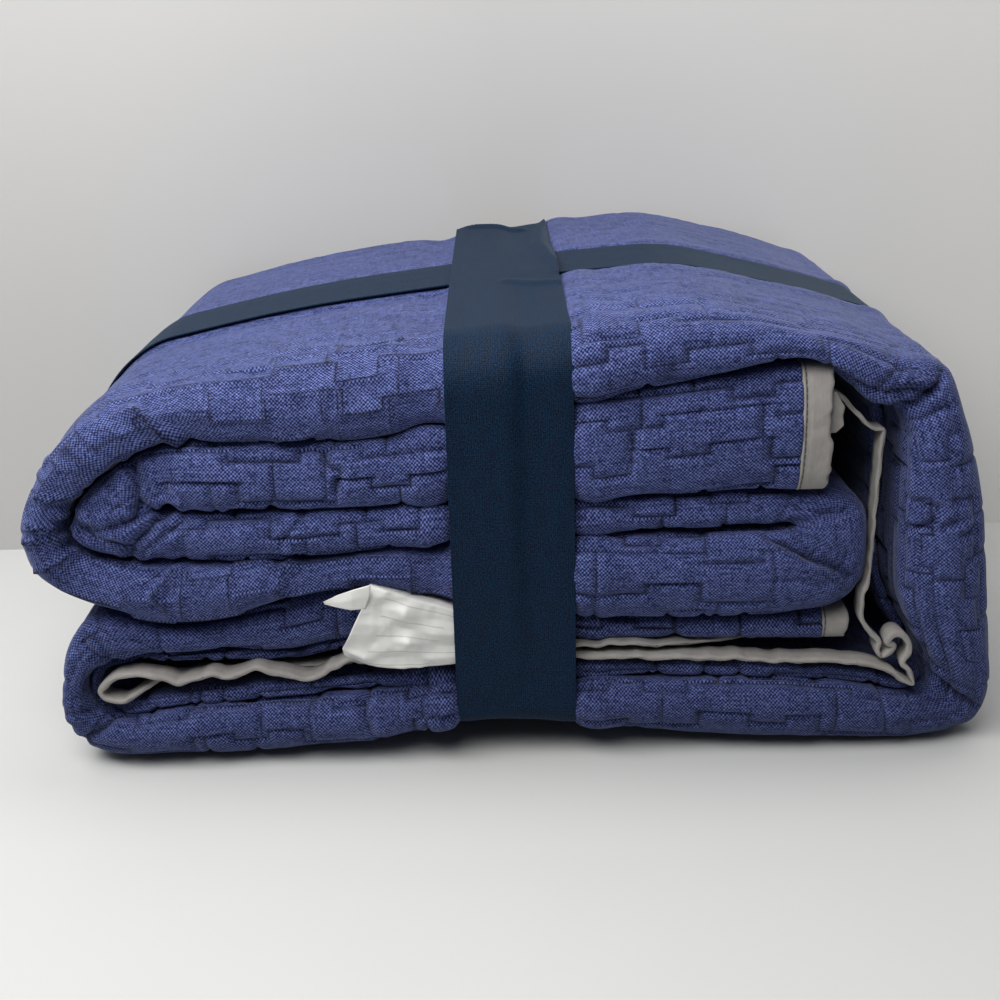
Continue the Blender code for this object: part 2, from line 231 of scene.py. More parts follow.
@dataclass(frozen=True)
class Quilting:
    """Stitched lines along the strip that step up and down, tied to their neighbours here and there.

    The surface is measured in millimetres: u along the strip, v across it.
    """

    spacing: float = 14.0  # between two lines
    run: float = 21.0  # the shortest stretch between two steps
    step: float = 5.4  # height of one step; a line keeps to three levels
    shift: float = 0.37  # of a run, from one line to the next
    sway: float = 0.36  # of a run, how unevenly the steps follow each other
    sway_length: float = 121.0
    tie_run: float = 37.0  # from one place for a tie to the next
    tie_share: float = 7.0  # of 11 places that have a tie
    lines_before: float = 60.0  # keeps the line's number positive on the whole strip

    def level(self, line: Numeric, place: Numeric) -> Numeric:
        """The level of a line, 0, 1 or 2, in one of its places."""
        return (line * 5.0 + place * place * 3.0 + place * line * 7.0).modulo(11.0).modulo(3.0)

    def tie(self, u: Numeric, line: Numeric) -> Numeric:
        """How far a point is, along the strip, from the nearest tie between a line and the one above."""
        swing = (u * (math.tau / 87.0) + line * 2.3).sine() * 0.3
        along = u / self.tie_run + line * 0.61 + swing
        place = (along + 0.5).floor()
        missing = (place * place * 5.0 + line * place * 3.0 + line * 4.0).modulo(11.0).above(self.tie_share)
        return (along - place).absolute() * self.tie_run + missing * 20.0

    def distance(self, u: Numeric, v: Numeric) -> Numeric:
        """How far a point is from the nearest stitched line.

        Args:
            u: along the strip, never negative.
            v: across the strip.

        Returns:
            The distance in millimetres.
        """
        row = (v / self.spacing).floor()
        nearest = None
        for below in (0.0, 1.0):
            line = row - below
            number = line + self.lines_before
            swing = (u * (math.tau / self.sway_length) + number * 1.7).sine() * self.sway
            along = u / self.run + number * self.shift + swing
            place = (along + 0.5).floor()
            before = self.level(number, place - 1.0) * self.step + line * self.spacing
            after = self.level(number, place) * self.step + line * self.spacing
            past = (along - place).above(0.0)
            own = before + (after - before) * past
            level_gap = (v - own).absolute()
            side_gap = (along - place).absolute() * self.run
            beyond = (before.least(after) - v).most(v - before.most(after)).most(0.0)
            step_gap = (side_gap * side_gap + beyond * beyond).root()
            gap = level_gap.least(step_gap)
            if nearest is None:
                tied = number - 1.0 + (v - own).above(0.0)
                nearest = gap.least(self.tie(u, tied))
            else:
                nearest = nearest.least(gap)
        return nearest


class Unevenness:
    """Smooth hills and hollows from a seeded grid of random heights, from -1 to 1."""

    SIZE = 256

    def __init__(self, seed: int) -> None:
        """Draw the grid for one seed."""
        self.grid = np.random.default_rng(seed).uniform(-1.0, 1.0, (self.SIZE, self.SIZE))

    def at(self, u: np.ndarray, v: np.ndarray) -> np.ndarray:
        """The heights at places measured in steps of the grid."""
        column, row = np.floor(u).astype(int), np.floor(v).astype(int)
        across, up = u - column, v - row
        across = across * across * (3 - 2 * across)
        up = up * up * (3 - 2 * up)
        c0, r0 = column % self.SIZE, row % self.SIZE
        c1, r1 = (c0 + 1) % self.SIZE, (r0 + 1) % self.SIZE
        low = self.grid[r0, c0] * (1 - across) + self.grid[r0, c1] * across
        high = self.grid[r1, c0] * (1 - across) + self.grid[r1, c1] * across
        return low * (1 - up) + high * up


# ---------------------------------------------------------------------------
# Finishes
# ---------------------------------------------------------------------------


class Paint:
    """Builds the nodes of one material."""

    def __init__(self, name: str) -> None:
        """Start a material with the plain shader."""
        self.material = bpy.data.materials.new(name)
        self.material.use_nodes = True
        self.tree = self.material.node_tree
        self.shader = self.tree.nodes["Principled BSDF"]

    def node(self, kind: str, settings: dict, inputs: dict) -> bpy.types.Node:
        """Add a node.

        Args:
            kind: the node's type.
            settings: its properties, which are set first.
            inputs: numbers, colours or links, by the socket's name or number.

        Returns:
            The node.
        """
        made = self.tree.nodes.new(kind)
        for key, value in settings.items():
            setattr(made, key, value)
        for key, value in inputs.items():
            self.feed(made.inputs[key], value)
        return made

    def feed(self, socket: bpy.types.NodeSocket, value: object) -> None:
        """Link or set one input."""
        if isinstance(value, Value):
            self.tree.links.new(value.socket, socket)
        elif isinstance(value, bpy.types.NodeSocket):
            self.tree.links.new(value, socket)
        elif isinstance(value, tuple) and len(value) == 3 and socket.type == "RGBA":
            socket.default_value = (*value, 1.0)
        else:
            socket.default_value = value

    def surface(self, layer: str) -> tuple[Value, Value]:
        """The two measures of a UV layer, in millimetres."""
        flat = self.node("ShaderNodeUVMap", {"uv_map": layer}, {})
        parts = self.node("ShaderNodeSeparateXYZ", {}, {0: flat.outputs[0]})
        return Value(self, parts.outputs[0]) / MM, Value(self, parts.outputs[1]) / MM

    def room(self) -> tuple[Value, Value, Value]:
        """The object's own coordinates, in millimetres."""
        place = self.node("ShaderNodeTexCoord", {}, {})
        parts = self.node("ShaderNodeSeparateXYZ", {}, {0: place.outputs["Object"]})
        return tuple(Value(self, parts.outputs[k]) / MM for k in range(3))

    def measure(self, name: str) -> Value:
        """A number that the mesh keeps at each point."""
        settings = {"attribute_name": name}
        return Value(self, self.node("ShaderNodeAttribute", settings, {}).outputs["Fac"])

    def noise(self, *places: Numeric, detail: float = 2.0, roughness: float = 0.5) -> Value:
        """Smooth noise from 0 to 1.

        Args:
            places: up to three coordinates, in sizes of the noise.
            detail: how many finer layers it has.
            roughness: how strong they are.

        Returns:
            The noise.
        """
        place = self.node("ShaderNodeCombineXYZ", {}, dict(enumerate(places)))
        inputs = {"Vector": place.outputs[0], "Scale": 1.0, "Detail": detail, "Roughness": roughness}
        return Value(self, self.node("ShaderNodeTexNoise", {}, inputs).outputs[0])

    def mix(self, share: Numeric, first: object, second: object) -> bpy.types.NodeSocket:
        """A colour between two others."""
        inputs = {0: share, 6: first, 7: second}
        return self.node("ShaderNodeMix", {"data_type": "RGBA"}, inputs).outputs[2]

    def dim(self, colour: object, factor: Numeric) -> bpy.types.NodeSocket:
        """A colour made darker or lighter."""
        inputs = {0: colour, "Scale": factor}
        return self.node("ShaderNodeVectorMath", {"operation": "SCALE"}, inputs).outputs[0]

    def bump(self, height: Value, strength: float = 1.0) -> bpy.types.NodeSocket:
        """A normal bent by a height in millimetres."""
        inputs = {"Height": height, "Distance": MM, "Strength": strength}
        return self.node("ShaderNodeBump", {}, inputs).outputs[0]

    def dress(self, **inputs: object) -> bpy.types.Material:
        """Set the shader's sockets, by their names with underscores, and give the material."""
        for name, value in inputs.items():
            self.feed(self.shader.inputs[name.replace("_", " ")], value)
        return self.material


@dataclass(frozen=True)
class ChambrayFinish:
    """Woven blue cloth with pale flecks and slubs, stitched down along the quilting, with painted shade
    along its seams and creases and towards the floor.
    """

    name: str = "quilt_chambray"
    dark: Colour = (0.003, 0.0065, 0.044)
    light: Colour = (0.19, 0.243, 0.6)
    paleness: float = 0.21  # share of the light colour in the plain cloth
    fleck: float = 1.62  # from one fleck to the next along a thread
    stray: float = 0.9  # how far the threads stray from straight
    stray_length: float = 2.6
    slub_length: float = 16.0
    thread: float = 0.8
    stitch: float = 3.0  # length of a stitch
    seam_width: float = 0.85
    drawn_width: float = 3.0  # of the cloth that a seam draws down, which gets painted shade
    crease_width: float = 1.1
    hollow_width: float = 4.0  # of the dip along a crease, which gets painted shade
    painted_shade_below: float = 120.0  # painted shade: the height under which the cloth's colour is darkened
    painted_floor_shade: float = 0.3  # painted shade: how much darker its colour is painted at the floor

    def weave(self, paint: Paint, u: Value, v: Value) -> tuple[Value, Value]:
        """The flecks, slubs and clouds of the yarn.

        Args:
            paint: the material.
            u: along the strip.
            v: across the strip.

        Returns:
            The share of the light colour, and the height of the threads.
        """
        worth = paint.measure("worth")
        stray_u = paint.noise(u / self.stray_length, v / self.stray_length, 31.0) - 0.5
        stray_v = paint.noise(u / self.stray_length, v / self.stray_length, 37.0) - 0.5
        turn_u = (u + stray_u * self.stray) * (math.tau / self.fleck)
        turn_v = (v + stray_v * self.stray) * (math.tau / self.fleck)
        threads = ((paint.measure("stretch") * 4.0 + 0.5).floor() / 4.0).most(0.5).least(2.0)
        flecks = (turn_u * threads).sine() * turn_v.sine()
        weft = paint.noise(u / self.slub_length, v / self.thread, detail=2.0)
        warp = paint.noise(u / self.thread, v / self.slub_length, 7.0, detail=2.0)
        cloud = paint.noise(u / 7.0, v / 7.0, 3.0, detail=3.0)
        faded = paint.noise(u / 60.0, v / 45.0, 11.0, detail=2.0)
        speck = paint.noise(u / 1.2, v / 1.0, 17.0, detail=1.0)
        mottle = paint.noise(u / 2.6, v / 2.0, 13.0, detail=1.0)
        amount = self.paleness + flecks * (cloud * 0.8 + 0.05) * (worth * 0.6 + 0.4)
        amount = amount + (speck - 0.5) * (worth * 0.5 + 0.4) + (mottle - 0.5) * 0.5
        amount = amount + (weft - 0.5) * 0.55 + (warp - 0.5) * 0.3
        amount = amount + (cloud - 0.5) * 0.22 + (faded - 0.5) * 0.16
        height = flecks * 0.035 + weft * 0.10 + warp * 0.05 + cloud * 0.12
        return amount.most(0.0).least(1.0), height

    def seams(self, paint: Paint, quilting: Quilting, u: Value, v: Value) -> tuple[Value, Value]:
        """The stitched lines and the creases, with their thread colour and painted shade.

        Args:
            paint: the material.
            quilting: the stitched lines.
            u: along the strip.
            v: across the strip.

        Returns:
            How much of the colour they leave, which is thread colour at the stitches and painted shade in
            the grooves, beside them and in the creases, and how deep they lie.
        """
        worth = paint.measure("worth")
        gap = quilting.distance(u, v)
        fold = paint.measure("fold") / MM
        seam = (1.0 - gap / self.seam_width).most(0.0) * worth
        beside = ((1.0 - gap / self.drawn_width).most(0.0) * worth) ** 2.0
        creased = (1.0 - fold / self.crease_width).most(0.0)
        hollow = (1.0 - fold / self.hollow_width).most(0.0) ** 2.0
        holes = ((u + v) * (math.tau / self.stitch)).sine() * 0.5 + 0.5
        drawn = ((paint.noise(u / 16.0, v / 16.0, 21.0, detail=1.0) - 0.32) * 2.6).most(0.0).least(1.0)
        # Thread colour at the stitch holes, and painted shade along the grooves and on the cloth drawn down
        # beside them.
        shade = 1.0 - seam * (0.22 + drawn * (0.34 + holes * 0.2)) - beside * (0.06 + drawn * 0.2)
        # Painted shade in the creases and in the hollows along them.
        shade = shade * (1.0 - creased * 0.5 - hollow * 0.25)
        depth = seam * (0.03 + drawn * 0.1) + beside * (0.3 + drawn * 0.5) + creased * 0.2 + hollow * 0.8
        return shade, depth

    def material(self, quilting: Quilting) -> bpy.types.Material:
        """The finish, with the lines of one quilting."""
        paint = Paint(self.name)
        u, v = paint.surface("strip")
        _, _, z = paint.room()
        amount, height = self.weave(paint, u, v)
        shade, depth = self.seams(paint, quilting, u, v)
        # Painted shade: the colour darkens towards the floor, in place of the shade on the lower layers.
        low = (1.0 - z / self.painted_shade_below).most(0.0)
        colour = paint.mix(amount, self.dark, self.light)
        return paint.dress(
            Base_Color=paint.dim(colour, shade * (1.0 - low * self.painted_floor_shade)),
            Roughness=0.82 + (amount - 0.5) * 0.12,
            Normal=paint.bump(height - depth, 0.9),
            Specular_IOR_Level=0.12,
            Sheen_Weight=0.17,
            Sheen_Roughness=0.5,
            Sheen_Tint=(0.66, 0.73, 1.0, 1.0),
        )


@dataclass(frozen=True)
class BindingFinish:
    """Plain warm grey cotton, a little creased, stitched along one edge."""

    name: str = "binding_cotton"
    dark: Colour = (0.22, 0.208, 0.20)
    light: Colour = (0.35, 0.336, 0.322)
    thread: float = 0.5
    stitch: float = 3.2
    stitched_at: float = 1.3  # from the binding's inner edge, in u

    def material(self) -> bpy.types.Material:
        """The finish, for a piece whose u starts at its stitched edge."""
        paint = Paint(self.name)
        u, v = paint.surface("strip")
        weave = (u * (math.tau / self.thread)).sine() * (v * (math.tau / self.thread)).sine()
        cloud = paint.noise(u / 6.0, v / 6.0, detail=4.0)
        fibre = paint.noise(u / 0.7, v / 5.0, 5.0, detail=2.0)
        amount = (0.5 + (cloud - 0.5) * 0.9 + (fibre - 0.5) * 0.5 + weave * 0.12).most(0.0).least(1.0)
        seam = (1.0 - (u - self.stitched_at).absolute() / 0.55).most(0.0)
        holes = (v * (math.tau / self.stitch)).sine().above(-0.45)
        colour = paint.mix(amount, self.dark, self.light)
        colour = paint.dim(colour, 1.0 - seam * (0.45 + holes * 0.4))
        height = weave * 0.03 + cloud * 0.35 + fibre * 0.12 - seam * 0.5
        return paint.dress(
            Base_Color=colour,
            Roughness=0.85 + (cloud - 0.5) * 0.1,
            Normal=paint.bump(height, 0.8),
            Specular_IOR_Level=0.25,
            Sheen_Weight=0.1,
        )


@dataclass(frozen=True)
class ElasticFinish:
    """Dark woven elastic: fine ribs along the ring, crossed by the weft, with a dull sheen."""

    name: str = "ring_elastic"
    dark: Colour = (0.0003, 0.002, 0.008)
    light: Colour = (0.005, 0.047, 0.125)
    rib: float = 0.9
    weft: float = 0.75

    def material(self) -> bpy.types.Material:
        """The finish, for a ring whose u runs round it and whose v runs across it."""
        paint = Paint(self.name)
        u, v = paint.surface("strip")
        ribs = (v * (math.tau / self.rib)).sine()
        wefts = (u * (math.tau / self.weft) + ribs * 0.6).sine()
        grain = paint.noise(u / 0.8, v / 0.6, 4.0, detail=1.0) - 0.5
        cloud = paint.noise(u / 9.0, v / 5.0, detail=4.0)
        lint = (paint.noise(u / 0.9, v / 0.9, 9.0, detail=1.0) - 0.69).most(0.0) * 4.0
        amount = 0.22 + ribs * 0.05 + wefts * 0.07 + grain * 1.3 + (cloud - 0.5) * 0.25 + lint
        colour = paint.mix(amount.most(0.0).least(1.0), self.dark, self.light)
        height = ribs * 0.03 + wefts * 0.03 + cloud * 0.1 + grain * 0.12
        return paint.dress(
            Base_Color=colour,
            Roughness=0.66 + (cloud - 0.5) * 0.15 - wefts * 0.05,
            Normal=paint.bump(height, 0.7),
            Specular_IOR_Level=0.14,
            Sheen_Weight=0.12,
            Sheen_Roughness=0.3,
            Sheen_Tint=(0.62, 0.82, 1.0, 1.0),
        )


@dataclass(frozen=True)
class SatinFinish:
    """White satin ribbon with a few plain ruled lines and no lettering."""

    name: str = "label_satin"
    white: Colour = (0.76, 0.765, 0.745)
    shade: Colour = (0.56, 0.565, 0.55)
    ink: Colour = (0.16, 0.16, 0.17)
    line_from: float = 9.0
    line_spacing: float = 7.5

    def material(self) -> bpy.types.Material:
        """The finish, for a label whose u runs across it and whose v runs down it."""
        paint = Paint(self.name)
        u, v = paint.surface("strip")
        thread = (v * (math.tau / 0.42)).sine() * 0.5 + paint.noise(u / 8.0, v / 0.5) - 0.5
        cloud = paint.noise(u / 10.0, v / 10.0, 2.0, detail=3.0)
        number = ((v - self.line_from) / self.line_spacing).floor()
        within = (v - self.line_from).modulo(self.line_spacing)
        length = (number * 2.4).sine() * 9.0 + 38.0
        ruled = (1.0 - (within - 2.0).absolute() / 0.35).most(0.0).least(1.0)
        ruled = ruled * (u - 8.0).above(0.0) * (length - u).above(0.0) * (v - self.line_from).above(0.0)
        colour = paint.mix((0.5 + (cloud - 0.5) * 1.2 + thread * 0.08).least(1.0), self.shade, self.white)
        colour = paint.mix(ruled * 0.5, colour, self.ink)
        return paint.dress(
            Base_Color=colour,
            Roughness=0.42 + (cloud - 0.5) * 0.15,
            Normal=paint.bump(thread * 0.02 + cloud * 0.3, 0.8),
            Specular_IOR_Level=0.5,
            Sheen_Weight=0.1,
        )


@dataclass(frozen=True)
class StageFinish:
    """A matt surface for the floor or the wall, with painted light that makes it paler to the right where
    asked; the wall shows on its front only.
    """

    name: str
    colour: Colour
    roughness: float
    painted_light_right: float = 0.0  # painted light: how much paler it gets, 300 mm to the right
    front_only: bool = False

    def material(self) -> bpy.types.Material:
        """The finish."""
        paint = Paint(self.name)
        x, y, z = paint.room()
        cloud = paint.noise(x / 90.0, y / 90.0, z / 90.0, detail=2.0)
        # Painted light: the colour grows paler to the right, in place of even light across the wall.
        right = (x / 300.0).most(-1.0).least(1.2)
        pale = 1.0 + (right * 0.35 + right.most(0.0) * 0.65) * self.painted_light_right
        made = paint.dress(
            Base_Color=paint.dim(self.colour, (0.985 + cloud * 0.03) * pale),
            Roughness=self.roughness,
            Specular_IOR_Level=0.3,
        )
        if self.front_only:
            side = paint.node("ShaderNodeNewGeometry", {}, {}).outputs["Backfacing"]
            clear = paint.node("ShaderNodeBsdfTransparent", {}, {}).outputs[0]
            inputs = {0: side, 1: paint.shader.outputs[0], 2: clear}
            shown = paint.node("ShaderNodeMixShader", {}, inputs)
            ending = paint.tree.nodes["Material Output"]
            paint.tree.links.new(shown.outputs[0], ending.inputs["Surface"])
        return made


# ---------------------------------------------------------------------------
# Shapes
# ---------------------------------------------------------------------------


class PlaceShape(NamedTuple):
    """How the strip's long edge is rounded at a place, and how much of its outer side shows."""

    outer_round: float
    inner_round: float
    foremost: float  # share of the thickness, from the outer side, that lies furthest forward
    shown: float
    lip: float  # thickness of the ply that lies apart along the inner side
    recess: float = 5.5  # how far that ply sits back


class Place(Enum):
    """The places along the strip, from its lower end to its upper end."""

    LAYER_5_CUT_END = PlaceShape(11.0, 6.0, 0.45, 0.0, 0.0)
    LAYER_5 = PlaceShape(12.0, 7.0, 0.5, 0.0, 0.0)
    LAYER_5_LEFT = PlaceShape(12.0, 8.0, 0.5, 0.0, 5.0, 5.5)
    BOTTOM_LEFT_TURN = PlaceShape(14.0, 9.0, 0.5, 1.0, 4.0, 11.0)
    LEFT_FOOT = PlaceShape(12.0, 8.0, 0.5, 1.0, 4.0, 12.0)
    BOTTOM_LEFT_MITRE = PlaceShape(17.0, 7.0, 0.5, 0.8, 5.0, 11.0)
    LAYER_6 = PlaceShape(27.0, 8.0, 0.62, 0.4, 6.5, 9.0)
    LAYER_6_DRAWN_IN = PlaceShape(11.0, 8.0, 0.5, 0.4, 6.5, 9.0)
    BOTTOM_RIGHT_MITRE = PlaceShape(16.0, 8.0, 0.5, 0.8, 7.0, 14.0)
    RIGHT_SIDE = PlaceShape(18.0, 9.5, 0.5, 1.0, 6.0, 40.0)
    TOP_RIGHT_MITRE = PlaceShape(13.0, 8.0, 0.55, 1.0, 6.0, 24.0)
    LAYER_1 = PlaceShape(23.0, 8.0, 0.66, 1.0, 0.0)
    LEFT_SHOULDER = PlaceShape(18.0, 8.0, 0.6, 1.0, 0.0)
    LEFT_WRAP = PlaceShape(18.0, 9.0, 0.55, 1.0, 0.0)
    LOWER_LEFT_MITRE = PlaceShape(13.0, 8.0, 0.5, 1.0, 0.0)
    LAYER_4 = PlaceShape(13.0, 10.0, 0.5, 0.1, 0.0)
    INNER_RIGHT_TURN = PlaceShape(13.0, 10.0, 0.5, 0.3, 0.0)
    INNER_RIGHT_MITRE = PlaceShape(12.0, 9.0, 0.5, 0.3, 0.0)
    LAYER_3 = PlaceShape(8.0, 8.0, 0.5, 0.0, 0.0)
    INNER_LEFT_TURN = PlaceShape(10.0, 12.0, 0.5, 0.1, 0.0)
    INNER_LEFT_MITRE = PlaceShape(9.0, 9.0, 0.5, 0.0, 0.0)
    LAYER_2 = PlaceShape(10.0, 12.0, 0.5, 0.0, 0.0)


class Rib(NamedTuple):
    """One section across the strip: its outer side, its inner side and how far it sits back."""

    place: Place
    outer_x: float
    outer_z: float
    inner_x: float
    inner_z: float
    set_back: float


# The sections of the quilt, close to its solid's, in millimetres, from the lower end to the upper end
RIBS = (
    Rib(Place.LAYER_5_CUT_END, 135.0, 64.0, 135.0, 50.8, 12.0),
    Rib(Place.LAYER_5, 83.0, 62.0, 83.0, 52.2, 12.0),
    Rib(Place.LAYER_5, 29.0, 65.6, 29.0, 54.0, 12.0),
    Rib(Place.LAYER_5, -32.0, 73.0, -32.0, 56.6, 12.0),
    Rib(Place.LAYER_5_LEFT, -79.0, 80.5, -79.0, 50.8, 10.0),
    Rib(Place.LAYER_5_LEFT, -103.0, 75.8, -103.0, 46.0, 9.5),
    Rib(Place.LAYER_5_LEFT, -127.0, 70.0, -127.0, 46.6, 9.0),
    Rib(Place.LAYER_5_LEFT, -159.0, 66.4, -157.0, 47.4, 7.0),
    Rib(Place.BOTTOM_LEFT_TURN, -186.0, 73.5, -171.0, 48.0, 5.0),
    Rib(Place.BOTTOM_LEFT_TURN, -199.5, 61.0, -184.5, 45.5, 3.0),
    Rib(Place.LEFT_FOOT, -205.5, 38.0, -190.5, 39.5, 2.0),
    Rib(Place.LEFT_FOOT, -205.5, 21.0, -190.5, 34.5, 2.0),
    Rib(Place.BOTTOM_LEFT_MITRE, -199.5, 8.0, -186.0, 30.8, 5.0),
    Rib(Place.LAYER_6, -185.0, 3.0, -176.0, 29.8, 1.0),
    Rib(Place.LAYER_6, -152.0, 2.5, -152.0, 33.6, 0.0),
    Rib(Place.LAYER_6, -107.0, 3.0, -107.0, 37.0, 0.0),
    Rib(Place.LAYER_6, -69.0, 5.0, -69.0, 39.2, 0.0),
    Rib(Place.LAYER_6_DRAWN_IN, -33.0, 16.0, -33.0, 41.6, 1.0),
    Rib(Place.LAYER_6_DRAWN_IN, 26.0, 14.5, 26.0, 42.4, 1.0),
    Rib(Place.LAYER_6, 61.0, 6.5, 61.0, 42.2, 0.0),
    Rib(Place.LAYER_6, 113.0, 1.0, 113.0, 40.4, 0.0),
    Rib(Place.LAYER_6, 153.0, 0.0, 153.0, 36.0, 0.0),
    Rib(Place.LAYER_6, 183.0, 0.0, 171.0, 31.0, 1.0),
    Rib(Place.BOTTOM_RIGHT_MITRE, 208.0, 6.0, 179.5, 30.5, 6.0),
    Rib(Place.RIGHT_SIDE, 213.5, 26.0, 177.5, 41.0, 2.0),
    Rib(Place.RIGHT_SIDE, 211.0, 50.0, 168.5, 56.0, 0.0),
    Rib(Place.RIGHT_SIDE, 208.5, 70.0, 162.5, 71.0, 0.0),
    Rib(Place.RIGHT_SIDE, 205.0, 99.0, 160.2, 99.0, 0.0),
    Rib(Place.RIGHT_SIDE, 198.0, 130.0, 160.0, 126.0, 0.0),
    Rib(Place.RIGHT_SIDE, 191.0, 152.0, 159.2, 144.0, 0.0),
    Rib(Place.TOP_RIGHT_MITRE, 182.0, 173.0, 155.6, 153.5, 5.0),
    Rib(Place.LAYER_1, 167.0, 178.0, 149.0, 161.0, 2.0),
    Rib(Place.LAYER_1, 148.0, 184.0, 140.0, 168.0, 1.0),
    Rib(Place.LAYER_1, 121.0, 190.5, 123.0, 179.6, 0.0),
    Rib(Place.LAYER_1, 78.0, 199.0, 78.0, 173.2, 0.0),
    Rib(Place.LAYER_1, 27.0, 195.0, 27.0, 165.6, 0.0),
    Rib(Place.LAYER_1, -32.0, 188.5, -32.0, 156.8, 0.0),
    Rib(Place.LAYER_1, -79.0, 183.5, -79.0, 151.8, 0.0),
    Rib(Place.LAYER_1, -121.0, 177.0, -118.0, 152.4, 0.0),
    Rib(Place.LEFT_SHOULDER, -153.0, 170.5, -140.0, 152.8, 3.0),
    Rib(Place.LEFT_WRAP, -175.0, 165.0, -157.0, 148.6, 1.0),
    Rib(Place.LEFT_WRAP, -194.0, 151.0, -172.0, 140.0, 0.0),
    Rib(Place.LEFT_WRAP, -206.5, 132.0, -186.5, 130.0, 1.0),
    Rib(Place.LEFT_WRAP, -213.5, 111.0, -195.0, 118.0, 2.0),
    Rib(Place.LEFT_WRAP, -212.5, 94.0, -194.0, 105.6, 3.0),
    Rib(Place.LOWER_LEFT_MITRE, -202.0, 83.0, -187.0, 100.0, 5.0),
    Rib(Place.LAYER_4, -179.0, 75.5, -170.0, 96.4, 1.0),
    Rib(Place.LAYER_4, -152.0, 69.5, -149.0, 96.4, 0.0),
    Rib(Place.LAYER_4, -127.0, 72.4, -127.0, 96.6, 0.0),
    Rib(Place.LAYER_4, -79.0, 83.0, -79.0, 98.4, 1.0),
    Rib(Place.LAYER_4, -32.0, 76.0, -32.0, 103.0, 1.0),
    Rib(Place.LAYER_4, 29.0, 68.2, 29.0, 104.2, 0.0),
    Rib(Place.LAYER_4, 78.0, 65.0, 78.0, 104.0, 0.0),
    Rib(Place.LAYER_4, 118.0, 65.4, 110.0, 103.8, 0.0),
    Rib(Place.INNER_RIGHT_TURN, 140.0, 68.8, 116.0, 104.0, 1.0),
    Rib(Place.INNER_RIGHT_MITRE, 151.6, 77.0, 119.0, 104.4, 5.0),
    Rib(Place.INNER_RIGHT_TURN, 153.4, 96.0, 120.2, 105.0, 3.0),
    Rib(Place.INNER_RIGHT_TURN, 151.0, 113.0, 119.0, 105.6, 5.0),
    Rib(Place.INNER_RIGHT_TURN, 139.0, 120.4, 116.0, 106.0, 7.0),
    Rib(Place.LAYER_3, 113.0, 120.8, 108.0, 106.0, 7.0),
    Rib(Place.LAYER_3, 66.0, 120.4, 66.0, 105.8, 5.0),
    Rib(Place.LAYER_3, 26.0, 120.6, 26.0, 105.8, 5.0),
    Rib(Place.LAYER_3, -31.0, 120.2, -31.0, 104.8, 3.0),
    Rib(Place.LAYER_3, -79.0, 119.2, -79.0, 100.2, 2.0),
    Rib(Place.LAYER_3, -119.0, 119.2, -119.0, 98.2, 2.0),
    Rib(Place.INNER_LEFT_TURN, -144.0, 119.4, -147.0, 98.0, 4.0),
    Rib(Place.INNER_LEFT_TURN, -152.0, 119.8, -169.0, 98.8, 5.0),
    Rib(Place.INNER_LEFT_TURN, -155.0, 120.2, -187.0, 103.6, 4.0),
    Rib(Place.INNER_LEFT_TURN, -156.0, 120.8, -193.2, 113.0, 4.0),
    Rib(Place.INNER_LEFT_TURN, -155.6, 121.4, -187.0, 126.4, 4.0),
    Rib(Place.INNER_LEFT_TURN, -154.0, 121.8, -173.0, 137.8, 4.0),
    Rib(Place.INNER_LEFT_MITRE, -149.0, 122.0, -157.0, 146.4, 6.0),
    Rib(Place.LAYER_2, -139.0, 121.8, -140.0, 150.8, 1.0),
    Rib(Place.LAYER_2, -119.0, 121.2, -119.0, 150.8, 0.0),
    Rib(Place.LAYER_2, -79.0, 121.0, -79.0, 150.2, 0.0),
    Rib(Place.LAYER_2, -31.0, 122.2, -31.0, 155.2, 0.0),
    Rib(Place.LAYER_2, 26.0, 122.6, 26.0, 164.0, 0.0),
    Rib(Place.LAYER_2, 66.0, 122.4, 66.0, 170.2, 0.0),
    Rib(Place.LAYER_2, 101.0, 123.2, 101.0, 175.4, 0.0),
    Rib(Place.LAYER_2, 119.0, 123.6, 119.0, 177.0, 0.0),
)


class Crease(NamedTuple):
    """A fold line on the front of the pack, drawn through points (x, z)."""

    place: str
    points: tuple[tuple[float, float], ...]
    depth: float
    width: float
    ridge: float  # height of the swelling beside it


